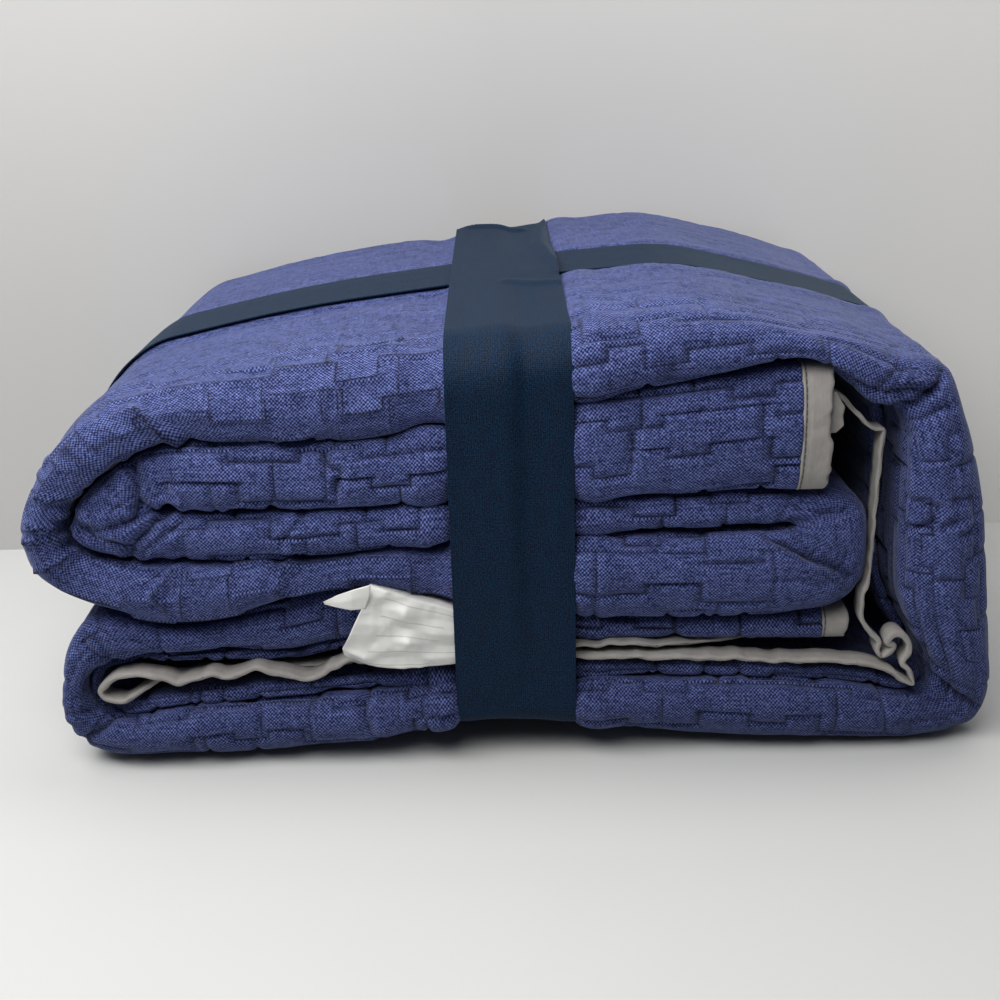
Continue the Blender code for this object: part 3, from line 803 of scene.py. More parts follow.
CREASES = (
    Crease("left shoulder", ((-162, 170), (-156, 165), (-147, 158), (-141, 154)), 3.4, 2.2, 1.0),
    Crease("left shoulder", ((-168, 167), (-163, 165), (-156, 165)), 1.8, 1.6, 0.6),
    Crease("left wrap, high", ((-205, 131), (-196, 129), (-187, 131)), 2.2, 1.3, 0.4),
    Crease("left wrap, middle", ((-210, 119), (-205, 118), (-198, 116)), 2.2, 1.3, 0.4),
    Crease("left wrap, low", ((-211, 111), (-199, 111), (-190, 109)), 2.4, 1.3, 0.4),
    Crease("lower left mitre", ((-212, 95), (-199, 100), (-191, 104)), 3.2, 1.5, 0.5),
    Crease("pocket", ((-163, 142), (-160, 134), (-159, 124), (-159, 121)), 4.0, 2.2, 1.6),
    Crease("pocket", ((-159, 124), (-154, 121), (-147, 123)), 2.6, 2.0, 1.0),
    Crease("pocket", ((-194, 122), (-186, 115), (-177, 114), (-165, 118), (-159, 121)), 2.6, 1.9, 1.3),
    Crease("pocket", ((-191, 116), (-181, 111), (-170, 108), (-166, 105)), 2.4, 1.7, 1.0),
    Crease("pocket tongue", ((-167, 101), (-163, 109), (-154, 117), (-147, 122)), 3.0, 2.0, 1.4),
    Crease("pocket tongue", ((-162, 103), (-153, 110), (-144, 116)), 1.6, 1.6, 0.8),
    Crease("layer 4, left", ((-146, 97), (-152, 91), (-158, 85)), 2.6, 1.8, 1.0),
    Crease("layer 4, left", ((-157, 87), (-154, 81)), 2.0, 1.6, 0.8),
    Crease("layer 4", ((-96, 99), (-101, 93), (-105, 85)), 2.0, 1.8, 0.9),
    Crease("layer 2", ((-81, 149), (-78, 141), (-73, 139), (-76, 130)), 2.2, 1.8, 1.2),
    Crease("layer 3", ((-91, 119), (-96, 113), (-100, 108)), 1.6, 1.6, 0.7),
    Crease("layer 1", ((-78, 176), (-79, 162)), 1.4, 3.0, 0.8),
    Crease("inner right mitre", ((108, 103), (122, 96), (137, 88), (151, 78)), 3.4, 1.6, 1.0),
    Crease("inner right turn", ((130, 112), (144, 114)), 1.8, 1.5, 0.8),
    Crease("below top right", ((131, 175), (143, 169), (153, 166), (163, 166), (173, 165)), 3.0, 1.7, 0.8),
    Crease("top right mitre", ((185, 174), (180, 172), (173, 165), (166, 160), (159, 160)), 3.8, 1.5, 0.8),
    Crease("top right", ((149, 169), (160, 176), (172, 171), (180, 172)), 1.6, 1.4, 0.5),
    Crease("right side, high", ((174, 158), (187, 160)), 1.6, 1.5, 0.7),
    Crease("right side, middle", ((164, 119), (178, 116), (177, 109), (166, 104)), 2.6, 1.3, 0.7),
    Crease("right side, middle", ((180, 107), (188, 110)), 1.8, 1.5, 0.7),
    Crease("right side, middle", ((189, 103), (201, 106)), 1.8, 1.5, 0.7),
    Crease("bottom right mitre", ((179, 47), (183, 34), (192, 27), (202, 20), (211, 15)), 3.6, 1.6, 0.9),
    Crease("bottom left mitre", ((-205, 8), (-199, 13), (-189, 20), (-183, 25), (-180, 27)), 3.6, 1.6, 0.9),
    Crease("left foot", ((-208, 30), (-196, 29), (-188, 27)), 1.8, 1.6, 0.8),
    Crease("bottom left turn", ((-193, 64), (-191, 62), (-187, 57), (-181, 51)), 2.4, 1.5, 0.7),
    Crease("layer 6, left", ((-69, 41), (-70, 28), (-68, 17)), 1.8, 2.2, 1.0),
)


def smooth_path(points: Sequence[Sequence[float]], spacing: float) -> tuple[np.ndarray, np.ndarray]:
    """Points along a centripetal Catmull-Rom curve.

    Args:
        points: the points that it passes, each of any number of coordinates.
        spacing: the greatest distance between two points of the result.

    Returns:
        The points, and where each lies among the given ones, as a fractional index.
    """
    points = np.asarray(points, dtype=float)
    padded = np.vstack([2 * points[0] - points[1], points, 2 * points[-1] - points[-2]])
    gaps = np.maximum(np.linalg.norm(np.diff(padded, axis=0), axis=1), 1e-6)
    knots = np.concatenate([[0.0], np.cumsum(np.sqrt(gaps))])
    found, places = [], []
    for i in range(len(points) - 1):
        a, b, c, d = padded[i : i + 4]
        ta, tb, tc, td = knots[i : i + 4]
        steps = max(1, math.ceil(gaps[i + 1] / spacing))
        share = np.arange(steps)[:, None] / steps
        t = tb + (tc - tb) * share
        ab = (a * (tb - t) + b * (t - ta)) / (tb - ta)
        bc = (b * (tc - t) + c * (t - tb)) / (tc - tb)
        cd = (c * (td - t) + d * (t - tc)) / (td - tc)
        abc = (ab * (tc - t) + bc * (t - ta)) / (tc - ta)
        bcd = (bc * (td - t) + cd * (t - tb)) / (td - tb)
        found.append((abc * (tc - t) + bcd * (t - tb)) / (tc - tb))
        places.append(i + share[:, 0])
    found.append(points[-1:])
    places.append(np.array([len(points) - 1.0]))
    return np.vstack(found), np.concatenate(places)


def height_at(z: np.ndarray, y: np.ndarray) -> np.ndarray:
    """The height z of a point of the front face, carried back to y."""
    return z * (1 + BACK_RISE * (y - FRONT_Y) / PACK_DEPTH)


def bell(gap: np.ndarray, width: float) -> np.ndarray:
    """1 at no gap, falling to nothing in about two widths."""
    return np.exp(-((gap / width) ** 2))


def ramp(value: np.ndarray, start: float, end: float) -> np.ndarray:
    """0 before start, 1 after end, and smooth between them."""
    share = np.clip((value - start) / (end - start), 0.0, 1.0)
    return share * share * (3 - 2 * share)


def normals_of(grid: np.ndarray, around: bool) -> np.ndarray:
    """The unit normals of a grid of points.

    Args:
        grid: rows of points.
        around: True if each row is a closed ring.

    Returns:
        An array of the grid's shape.
    """
    down = np.gradient(grid, axis=0)
    if around:
        across = np.roll(grid, -1, axis=1) - np.roll(grid, 1, axis=1)
    else:
        across = np.gradient(grid, axis=1)
    normal = np.cross(across, down)
    return normal / np.maximum(np.linalg.norm(normal, axis=2, keepdims=True), 1e-9)


def distance_to_line(x: np.ndarray, z: np.ndarray, points: Sequence[Sequence[float]]) -> np.ndarray:
    """How far each place is from a line through points."""
    nearest = np.full(np.shape(x), np.inf)
    for (ax, az), (bx, bz) in zip(points, points[1:]):
        dx, dz = bx - ax, bz - az
        share = np.clip(((x - ax) * dx + (z - az) * dz) / (dx * dx + dz * dz), 0.0, 1.0)
        nearest = np.minimum(nearest, np.hypot(x - ax - dx * share, z - az - dz * share))
    return nearest


@dataclass
class Skin:
    """A closed surface lofted through rings, with its measures.

    Attributes:
        points: rings of points, in millimetres.
        u: the measure along the rings' path, one a ring.
        v: the measure around each ring, with one more than the ring's points.
        closed: True if the last ring joins the first one.
        extra: further numbers of each point, by name, kept as attributes of the mesh.
    """

    points: np.ndarray
    u: np.ndarray
    v: np.ndarray
    closed: bool = False
    extra: dict[str, np.ndarray] = field(default_factory=dict)

    def piece(self, name: str, finish: bpy.types.Material) -> bpy.types.Object:
        """Make the surface an object.

        Args:
            name: the object's name.
            finish: its material.

        Returns:
            The object, at the origin, with its place in its mesh and its measures in the UV layer "strip".
        """
        rings, count = self.points.shape[:2]
        index = np.arange(rings * count).reshape(rings, count)
        ahead = np.roll(index, -1, axis=0) if self.closed else index[1:]
        here = index if self.closed else index[:-1]
        corners = (here, np.roll(here, -1, axis=1), np.roll(ahead, -1, axis=1), ahead)
        faces = np.stack(corners, axis=-1).reshape(-1, 4)
        u = np.broadcast_to(self.u[:, None], (len(self.u), count + 1))
        v = self.v
        places = []
        for down, across in ((0, 0), (0, 1), (1, 1), (1, 0)):
            rows = slice(down, down + len(here))
            columns = slice(across, across + count)
            places.append(np.stack([u[rows, columns], v[rows, columns]], axis=-1))
        uv = np.stack(places, axis=2).reshape(-1, 2)
        turned = self.outside_in()
        if turned:
            faces = faces[:, ::-1]
            uv = uv.reshape(-1, 4, 2)[:, ::-1].reshape(-1, 2)
        polygons = faces.tolist()
        if not self.closed:
            first, last = index[0].tolist(), index[-1].tolist()
            polygons.append(first if turned else first[::-1])
            polygons.append(last[::-1] if turned else last)
            ends = np.zeros((2 * count, 2))
            ends[:count, 0], ends[count:, 0] = self.u[0], self.u[-1]
            uv = np.vstack([uv, ends])
        mesh = bpy.data.meshes.new(name)
        mesh.from_pydata((self.points.reshape(-1, 3) * MM).tolist(), [], polygons)
        layer = mesh.uv_layers.new(name="strip")
        layer.data.foreach_set("uv", (uv * MM).astype(np.float32).ravel())
        for key, values in self.extra.items():
            kept = mesh.attributes.new(key, "FLOAT", "POINT")
            kept.data.foreach_set("value", values.astype(np.float32).ravel())
        mesh.materials.append(finish)
        mesh.shade_smooth()
        mesh.update()
        thing = bpy.data.objects.new(name, mesh)
        bpy.context.scene.collection.objects.link(thing)
        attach(thing, BODY)
        log.info("%s: %d faces", name, len(polygons))
        return thing

    def outside_in(self) -> bool:
        """Whether the faces as listed would point inwards, from the signed volume."""
        grid = self.points
        nxt = np.roll(grid, -1, axis=0) if self.closed else grid[1:]
        now = grid if self.closed else grid[:-1]
        a, b, c, d = now, np.roll(now, -1, axis=1), np.roll(nxt, -1, axis=1), nxt
        volume = np.einsum("ijk,ijk->", a, np.cross(b, c)) + np.einsum("ijk,ijk->", a, np.cross(c, d))
        return bool(volume < 0)


def slab(grid: np.ndarray, u: np.ndarray, v: np.ndarray, thickness: float, closed: bool = False) -> Skin:
    """A sheet with its thickness.

    Args:
        grid: rows of points on the middle of the sheet.
        u: the measure of each row.
        v: the measure of each point along a row.
        thickness: of the sheet.
        closed: True if the last row joins the first one.

    Returns:
        The sheet's skin: each ring goes out on one side and comes back on the other.
    """
    if closed:
        wrapped = np.concatenate([grid[-2:], grid, grid[:2]])
        normal = normals_of(wrapped, around=False)[2:-2]
    else:
        normal = normals_of(grid, around=False)
    front = grid + normal * thickness / 2
    back = grid - normal * thickness / 2
    ring = np.concatenate([front, back[:, ::-1]], axis=1)
    measure = np.concatenate([v, v[::-1], v[:1]])
    rows = len(grid) + (1 if closed else 0)
    step = float(np.linalg.norm(grid[0] - grid[-1], axis=1).mean()) if closed else 0.0
    along = np.append(u, u[-1] + step) if closed else u
    return Skin(ring, along, np.broadcast_to(measure, (rows, len(measure))), closed)


# ---------------------------------------------------------------------------
# The quilt
# ---------------------------------------------------------------------------


@dataclass
class Sections:
    """Sections along the strip, each value one a section.

    Attributes:
        outer: x and z of the outer side.
        inner: x and z of the inner side.
        set_back: how far the front sits back.
        manner: outer_round, inner_round, foremost, shown, lip and recess, as in PlaceShape.
        place: the fractional index of the rib.
        u: the measure along the strip.
    """

    outer: np.ndarray
    inner: np.ndarray
    set_back: np.ndarray
    manner: np.ndarray
    place: np.ndarray
    u: np.ndarray

    def chosen(self, index: object) -> "Sections":
        """Some of the sections."""
        parts = (self.outer, self.inner, self.set_back, self.manner, self.place, self.u)
        return Sections(*(part[index] for part in parts))

    def thickness(self) -> np.ndarray:
        """The strip's thickness at each section."""
        return np.linalg.norm(self.outer - self.inner, axis=1)


@dataclass
class Outline:
    """The closed outlines of sections: row by row, from the hidden seam round the front and back.

    Attributes:
        share: how far across the thickness each point lies, from the outer side.
        y: how far back it lies.
        weight: how closely points are wanted there.
        edge: 1 on the rounded edges, 0 between them.
        outside: 1 on the outer side.
        heart: the index of the foremost point.
    """

    share: np.ndarray
    y: np.ndarray
    weight: np.ndarray
    edge: np.ndarray
    outside: np.ndarray
    heart: int


@dataclass
class FoldedQuilt:
    """The whole quilt: one strip of eight plies, wound flat in six layers."""

    quilting: Quilting
    finish: bpy.types.Material
    spacing: float = 1.35
    columns: int = 152
    fullness: float = 2.2  # exponent of the rounded edges; 2 is an ellipse
    back_round: float = 13.0  # of the edge at the back
    crevice: float = 9.5  # how much deeper than the ply beside it
    crevice_width: float = 0.8
    puff: float = 1.1  # height of the cloth between two stitched lines
    puff_width: float = 3.0
    groove: float = 1.15  # depth along a stitched line
    groove_width: float = 1.5
    calm_from: float = 15.0  # how far back the stitched relief starts to fade on the outer side
    calm_to: float = 95.0
    press: float = 1.0  # how far the rings press in
    bulge: float = 2.3  # how far the cloth swells beside a ring
    channel: float = 2.2  # room for one ring below the pack
    crispness: float = 1.25  # of the creases, beyond their own depth

    def sections(self) -> Sections:
        """The sections between and at the ribs, 1 mm apart or less."""
        table = [rib[1:] for rib in RIBS]
        path, place = smooth_path(table, 1.0)
        shapes = np.array([rib.place.value for rib in RIBS], dtype=float)
        ribs = np.arange(len(RIBS))
        manner = np.column_stack([np.interp(place, ribs, column) for column in shapes.T])
        steps = np.diff(path[:, 0:4], axis=0)
        outer, inner = np.hypot(steps[:, 0], steps[:, 1]), np.hypot(steps[:, 2], steps[:, 3])
        u = np.concatenate([[0.0], np.cumsum(0.6 * outer + 0.4 * inner)])
        return Sections(path[:, 0:2], path[:, 2:4], path[:, 4], manner, place, u)

    @staticmethod
    def spaced(dense: Sections, first: float, last: float, spacing: float) -> Sections:
        """Sections evenly spaced along a stretch of the strip.

        Args:
            dense: closely spaced sections.
            first: the measure where the stretch starts.
            last: the measure where it ends.
            spacing: between two sections.

        Returns:
            The sections.
        """
        at = np.linspace(first, last, round((last - first) / spacing) + 1)
        index = np.interp(at, dense.u, np.arange(len(dense.u)))
        low = np.minimum(index.astype(int), len(dense.u) - 2)
        share = index - low
        before, after = dense.chosen(low), dense.chosen(low + 1)

        def between(a: np.ndarray, b: np.ndarray) -> np.ndarray:
            """The values between two neighbours."""
            part = share[:, None] if a.ndim == 2 else share
            return a + (b - a) * part

        names = ("outer", "inner", "set_back", "manner", "place", "u")
        return Sections(*(between(getattr(before, name), getattr(after, name)) for name in names))

    def outline(self, at: Sections) -> Outline:
        """The outlines of sections."""
        thick = np.maximum(at.thickness(), 1.0)
        outer_round = np.minimum(at.manner[:, 0], 0.85 * thick)
        inner_round = np.minimum(at.manner[:, 1], 0.6 * thick)
        lip = np.minimum(at.manner[:, 4], 0.4 * thick)
        stands = np.clip(at.manner[:, 4] / 4.0, 0.0, 1.0)
        front = FRONT_Y + at.set_back
        back = BACK_Y - at.set_back / 2
        back_round = np.minimum(self.back_round, 0.55 * thick)
        split = 1 - lip / thick
        main_end = split - self.crevice_width * stands / thick
        recess = at.manner[:, 5]
        lip_front = front + inner_round + (recess - inner_round) * stands
        lip_middle = lip_front + lip / 2
        crevice = front + inner_round + (recess + self.crevice - inner_round) * stands
        heart = at.manner[:, 2] * main_end
        power = 2 / self.fullness
        rows: list[tuple[np.ndarray, np.ndarray, float, float, float]] = []

        def add(
            share: np.ndarray, y: np.ndarray, weight: float, edge: float = 1.0, outside: float = 0.0
        ) -> None:
            """Add one point to every outline."""
            rows.append((share + 0 * thick, y + 0 * thick, weight, edge, outside))

        # The hidden inner side, forwards
        for t, weight in ((0.0, 0.03), (0.55, 0.03), (0.8, 0.05), (0.92, 0.3), (0.97, 0.8)):
            add(1.0, lip_middle * t, weight, 1.0 if t > 0.9 else 0.0)
        # The lip's nose, and the crevice between it and the main edge
        for angle in np.linspace(0, math.pi, 11):
            share = 1 - lip / thick * (1 - math.cos(angle)) / 2
            add(share, lip_middle - lip / 2 * math.sin(angle), 1.0)
        for t in (0.35, 0.7, 1.0):
            add(split + (main_end - split) * t / 2, lip_middle + (crevice - lip_middle) * t, 0.5)
        for t in (0.35, 0.7):
            share = main_end + (split - main_end) * (1 - t) / 2
            add(share, crevice + (front + inner_round - crevice) * t, 0.5)
        # The main edge, round from the inner side to the outer side
        for angle in np.linspace(0, math.pi / 2, 14):
            along, rise = math.cos(angle) ** power, math.sin(angle) ** power
            add(heart + (main_end - heart) * along, front + inner_round * (1 - rise), 1.0)
        heart_index = len(rows) - 1
        for angle in np.linspace(math.pi / 2, 0, 20)[1:]:
            along, rise = math.cos(angle) ** power, math.sin(angle) ** power
            add(heart * (1 - along), front + outer_round * (1 - rise), 1.0, outside=1.0)
        # The outer side, backwards, where a negative weight stands for one that follows what shows
        start, end = front + outer_round, back - back_round
        for t in (0.03, 0.08, 0.2, 0.4, 0.6, 0.8, 0.92, 0.97):
            add(0.0, start + (end - start) * t, -1.0, 1.0 if t in (0.03, 0.97) else 0.0, 1.0)
        # The back edge and the hidden inner side again
        for angle in np.linspace(0, math.pi, 21):
            across = math.copysign(abs(math.cos(angle)) ** power, math.cos(angle))
            rise = math.sin(angle) ** power
            outside = min(1.0, max(0.0, 1.9 - angle))
            add((1 - across) / 2, back - back_round * (1 - rise), 0.42, outside=outside)
        for t, weight in ((0.05, 0.2), (0.3, 0.03), (1.0, 0.03)):
            add(1.0, end * (1 - t), weight, 0.0)
        share = np.stack([row[0] for row in rows], axis=1)
        y = np.stack([row[1] for row in rows], axis=1)
        shown = at.manner[:, 3:4]
        weight = np.array([row[2] for row in rows])[None, :] + 0 * share
        weight = np.where(weight < 0, 0.035 + 0.52 * shown, weight)
        edge = np.array([row[3] for row in rows])[None, :] + 0 * share
        outside = np.array([row[4] for row in rows])[None, :] + 0 * share
        return Outline(share, y, weight, edge, outside, heart_index)

    def plain_skin(self, at: Sections, columns: int) -> tuple[Skin, np.ndarray, np.ndarray]:
        """The strip without its relief.

        Args:
            at: the sections.
            columns: how many points each ring has.

        Returns:
            The skin, 1 where the surface is a rounded edge, and 1 where it is the outer side.
        """
        line = self.outline(at)
        x = at.outer[:, :1] + (at.inner[:, :1] - at.outer[:, :1]) * line.share
        low = at.outer[:, 1:] + (at.inner[:, 1:] - at.outer[:, 1:]) * line.share
        z = height_at(low, line.y)
        points = np.stack([x, line.y, z], axis=2)
        step = np.linalg.norm(np.diff(points, axis=1), axis=2)
        cost = step * (line.weight[:, 1:] + line.weight[:, :-1]) / 2
        wanted = np.concatenate([np.zeros((len(step), 1)), np.cumsum(cost, axis=1)], axis=1)
        length = np.concatenate([np.zeros((len(step), 1)), np.cumsum(step, axis=1)], axis=1)
        length -= length[:, line.heart : line.heart + 1]
        made = np.empty((len(step), columns + 1, 3))
        v = np.empty((len(step), columns + 1))
        edge = np.empty_like(v)
        outside = np.empty_like(v)
        for i in range(len(step)):
            target = np.linspace(0.0, wanted[i, -1], columns + 1)
            for k in range(3):
                made[i, :, k] = np.interp(target, wanted[i], points[i, :, k])
            v[i] = np.interp(target, wanted[i], length[i])
            edge[i] = np.interp(target, wanted[i], line.edge[i])
            outside[i] = np.interp(target, wanted[i], line.outside[i])
        return Skin(made[:, :-1], at.u, v), edge[:, :-1], outside[:, :-1]

    def relief(self, skin: Skin, at: Sections, edge: np.ndarray, outside: np.ndarray) -> np.ndarray:
        """How far the surface stands out from the plain strip at each point.

        Args:
            skin: the plain skin.
            at: its sections.
            edge: 1 where the surface is a rounded edge.
            outside: 1 where the surface is the outer side.

        Returns:
            The heights in millimetres.
        """
        x, y = skin.points[:, :, 0], skin.points[:, :, 1]
        u = np.broadcast_to(skin.u[:, None], x.shape)
        v = skin.v[:, :-1]
        shown = at.manner[:, 3:4]
        seen = np.maximum(edge, outside * shown)
        side = (1 - edge) * outside * shown
        turning = self.turning(at)[:, None]
        upright = outside * self.steepness(at)[:, None]
        beyond = y - FRONT_Y - at.set_back[:, None]
        contour = upright * ramp(beyond, 3.0, 12.0)
        calm = outside * ramp(y, FRONT_Y + self.calm_from, FRONT_Y + self.calm_to)
        worth = (1 - 0.8 * calm) * (1 - 0.55 * turning)
        held, swelling = self.ring_marks(x, y, seen, side)
        height = self.stitched(u, v) * worth * (1 - 0.65 * contour)
        height += self.unevenness(u, v, side, calm) * (1 - 0.7 * turning) * (1 - 0.5 * contour)
        height *= (1 - 0.85 * held) * (0.25 + 0.75 * seen)
        height += swelling - self.press * held - 0.5 - 0.4 * (1 - seen)
        rounding = upright * ramp(beyond, 0.3, 5.0)
        creased = (1 - ramp(beyond + 12.0 * rounding, 4.0, 14.0)) * edge
        folds, fold_gap = self.folds(skin, creased)
        skin.extra["fold"] = fold_gap * MM
        skin.extra["worth"] = worth * (1 - 0.6 * held)
        skin.extra["stretch"] = self.stretch(skin)
        return height + folds

    def stitched(self, u: np.ndarray, v: np.ndarray) -> np.ndarray:
        """The puffs of cloth between the stitched lines, and the grooves along them."""
        gap = np.asarray(self.quilting.distance(Numbers.of(u), Numbers.of(v)))
        return self.puff * (1 - np.exp(-gap / self.puff_width)) - self.groove * bell(gap, self.groove_width)

    @staticmethod
    def unevenness(u: np.ndarray, v: np.ndarray, side: np.ndarray, calm: np.ndarray) -> np.ndarray:
        """Ripples along the strip and soft lumps, fewer on its flat side and on the calm top."""
        ripple = Unevenness(11).at(u / 55.0, v / 5.0) * (0.25 + 0.12 * side)
        ripple += Unevenness(12).at(u / 23.0, v / 11.0) * (0.45 - 0.25 * side)
        lump = Unevenness(13).at(u / 38.0, v / 26.0) * (0.9 - 0.4 * calm)
        lump += Unevenness(14).at(u / 11.0, v / 12.0) * (0.4 - 0.25 * calm)
        return ripple + lump

    def ring_marks(
        self, x: np.ndarray, y: np.ndarray, seen: np.ndarray, side: np.ndarray
    ) -> tuple[np.ndarray, np.ndarray]:
        """What the rings do to the cloth.

        Args:
            x: of each point.
            y: of each point.
            seen: 1 where the surface shows.
            side: 1 on the flat of the outer side.

        Returns:
            Where a ring presses, from 0 to 1, and how far the cloth swells beside it.
        """
        half = BAND_WIDTH / 2
        across, deep = np.abs(x - UPRIGHT_X), np.abs(y - LEVEL_Y)
        upright = (1 - ramp(across, half - 1.5, half + 2.0)) * seen
        level = (1 - ramp(deep, half - 1.5, half + 2.0)) * side
        beside_upright = bell(across - half - 9.0, 9.0) * seen * (1 - level)
        beside_level = bell(deep - half - 7.0, 8.0) * side * (1 - upright)
        return np.maximum(upright, level), self.bulge * np.maximum(beside_upright, 0.5 * beside_level)

    def folds(self, skin: Skin, creased: np.ndarray) -> tuple[np.ndarray, np.ndarray]:
        """The creases and the ridges beside them.

        Args:
            skin: the plain skin.
            creased: 1 where creases show, 0 where they have run out.

        Returns:
            Their height, and how far the nearest crease is.
        """
        x, y, z = (skin.points[:, :, k] for k in range(3))
        front_z = z / (1 + BACK_RISE * (y - FRONT_Y) / PACK_DEPTH)
        height = np.zeros_like(x)
        gap = np.full_like(x, FAR)
        for crease in CREASES:
            near = distance_to_line(x, front_z, crease.points)
            sunk = np.exp(-np.hypot(near, 0.6) / (0.85 * crease.width))
            ridge = bell(near - 2.3 * crease.width, 1.3 * crease.width)
            height += (crease.ridge * ridge - self.crispness * crease.depth * sunk) * creased
            gap = np.minimum(gap, near * 3.0 / crease.depth + FAR * (1 - creased))
        return height, gap

    @staticmethod
    def stretch(skin: Skin) -> np.ndarray:
        """How much longer than its measure the surface is along the strip, at each point."""
        along = np.gradient(skin.points, axis=0) / np.gradient(skin.u)[:, None, None]
        around = np.roll(skin.points, -1, axis=1) - np.roll(skin.points, 1, axis=1)
        around /= np.maximum(np.linalg.norm(around, axis=2, keepdims=True), 1e-9)
        along -= around * np.sum(along * around, axis=2, keepdims=True)
        return np.linalg.norm(along, axis=2)

    @staticmethod
    def steepness(at: Sections) -> np.ndarray:
        """How steeply the outer side runs at each section: 0 level, 1 upright."""
        step = np.abs(np.gradient(at.outer, axis=0))
        return step[:, 1] / np.maximum(step.sum(axis=1), 1e-6)

    @staticmethod
    def turning(at: Sections) -> np.ndarray:
        """How tightly the strip turns at each section: 0 on a straight run, 1 in a turn."""
        outer = np.linalg.norm(np.gradient(at.outer, axis=0), axis=1)
        inner = np.linalg.norm(np.gradient(at.inner, axis=0), axis=1)
        ratio = 1 - np.minimum(outer, inner) / np.maximum(np.maximum(outer, inner), 1e-6)
        kernel = np.ones(11) / 11
        return np.clip(np.convolve(ratio, kernel, mode="same") * 1.3, 0.0, 1.0)

    def skin(self, at: Sections, columns: int) -> Skin:
        """The strip's surface with its relief, above the floor and the rings below the pack."""
        plain, edge, outside = self.plain_skin(at, columns)
        height = self.relief(plain, at, edge, outside)
        normal = normals_of(plain.points, around=True)
        if normal[:, np.argmax(edge[0]), 1].mean() > 0 or self.points_in(plain, normal):
            normal = -normal
        points = plain.points + normal * height[:, :, None]
        x, y, z = (points[:, :, k] for k in range(3))
        under = (1 - ramp(z, 20.0, 30.0)) * (1 - ramp(np.abs(y), 20.0, 128.0))
        z = z - under * np.maximum(z - 1.0, 0.0)
        room = (np.abs(y - LEVEL_Y) < BAND_WIDTH / 2 + 1.5) * self.channel
        room = room + (np.abs(x - UPRIGHT_X) < BAND_WIDTH / 2 + 1.5) * self.channel
        return Skin(np.stack([x, y, np.maximum(z, room)], axis=2), plain.u, plain.v, extra=plain.extra)

    @staticmethod
    def points_in(plain: Skin, normal: np.ndarray) -> bool:
        """Whether the normals point to the inside of the strip."""
        middle = plain.points.mean(axis=1, keepdims=True)
        return bool(np.einsum("ijk,ijk->", normal, plain.points - middle) < 0)

    def cuts(self, dense: Sections) -> list[float]:
        """Where the strip passes behind the upright ring on its way, apart from near its ends."""
        found = []
        for layer in (Place.LAYER_6_DRAWN_IN, Place.LAYER_1, Place.LAYER_4):
            ribs = [i for i, rib in enumerate(RIBS) if rib.place is layer]
            within = (dense.place >= ribs[0]) & (dense.place <= ribs[-1])
            gap = np.where(within, np.abs(dense.outer[:, 0] - UPRIGHT_X), np.inf)
            found.append(float(dense.u[np.argmin(gap)]))
        return found

    def build(self) -> list[tuple[bpy.types.Object, Skin]]:
        """The quilt as four pieces that meet behind the upright ring."""
        dense = self.sections()
        stations = [0.0, *self.cuts(dense), float(dense.u[-1])]
        names = ("quilt_lower_left", "quilt_right_side", "quilt_left_wrap", "quilt_inner_folds")
        made = []
        for name, first, last in zip(names, stations, stations[1:]):
            skin = self.skin(self.spaced(dense, first, last, self.spacing), self.columns)
            thing = skin.piece(name, self.finish)
            made.append((thing, skin))
        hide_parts("quilt")
        return made


# ---------------------------------------------------------------------------
# Binding and label
# ---------------------------------------------------------------------------


class EdgePoint(NamedTuple):
    """One point of the bound free edge: its middle, how far forward it comes and its thickness."""

    x: float
    z: float
    front: float
    thickness: float


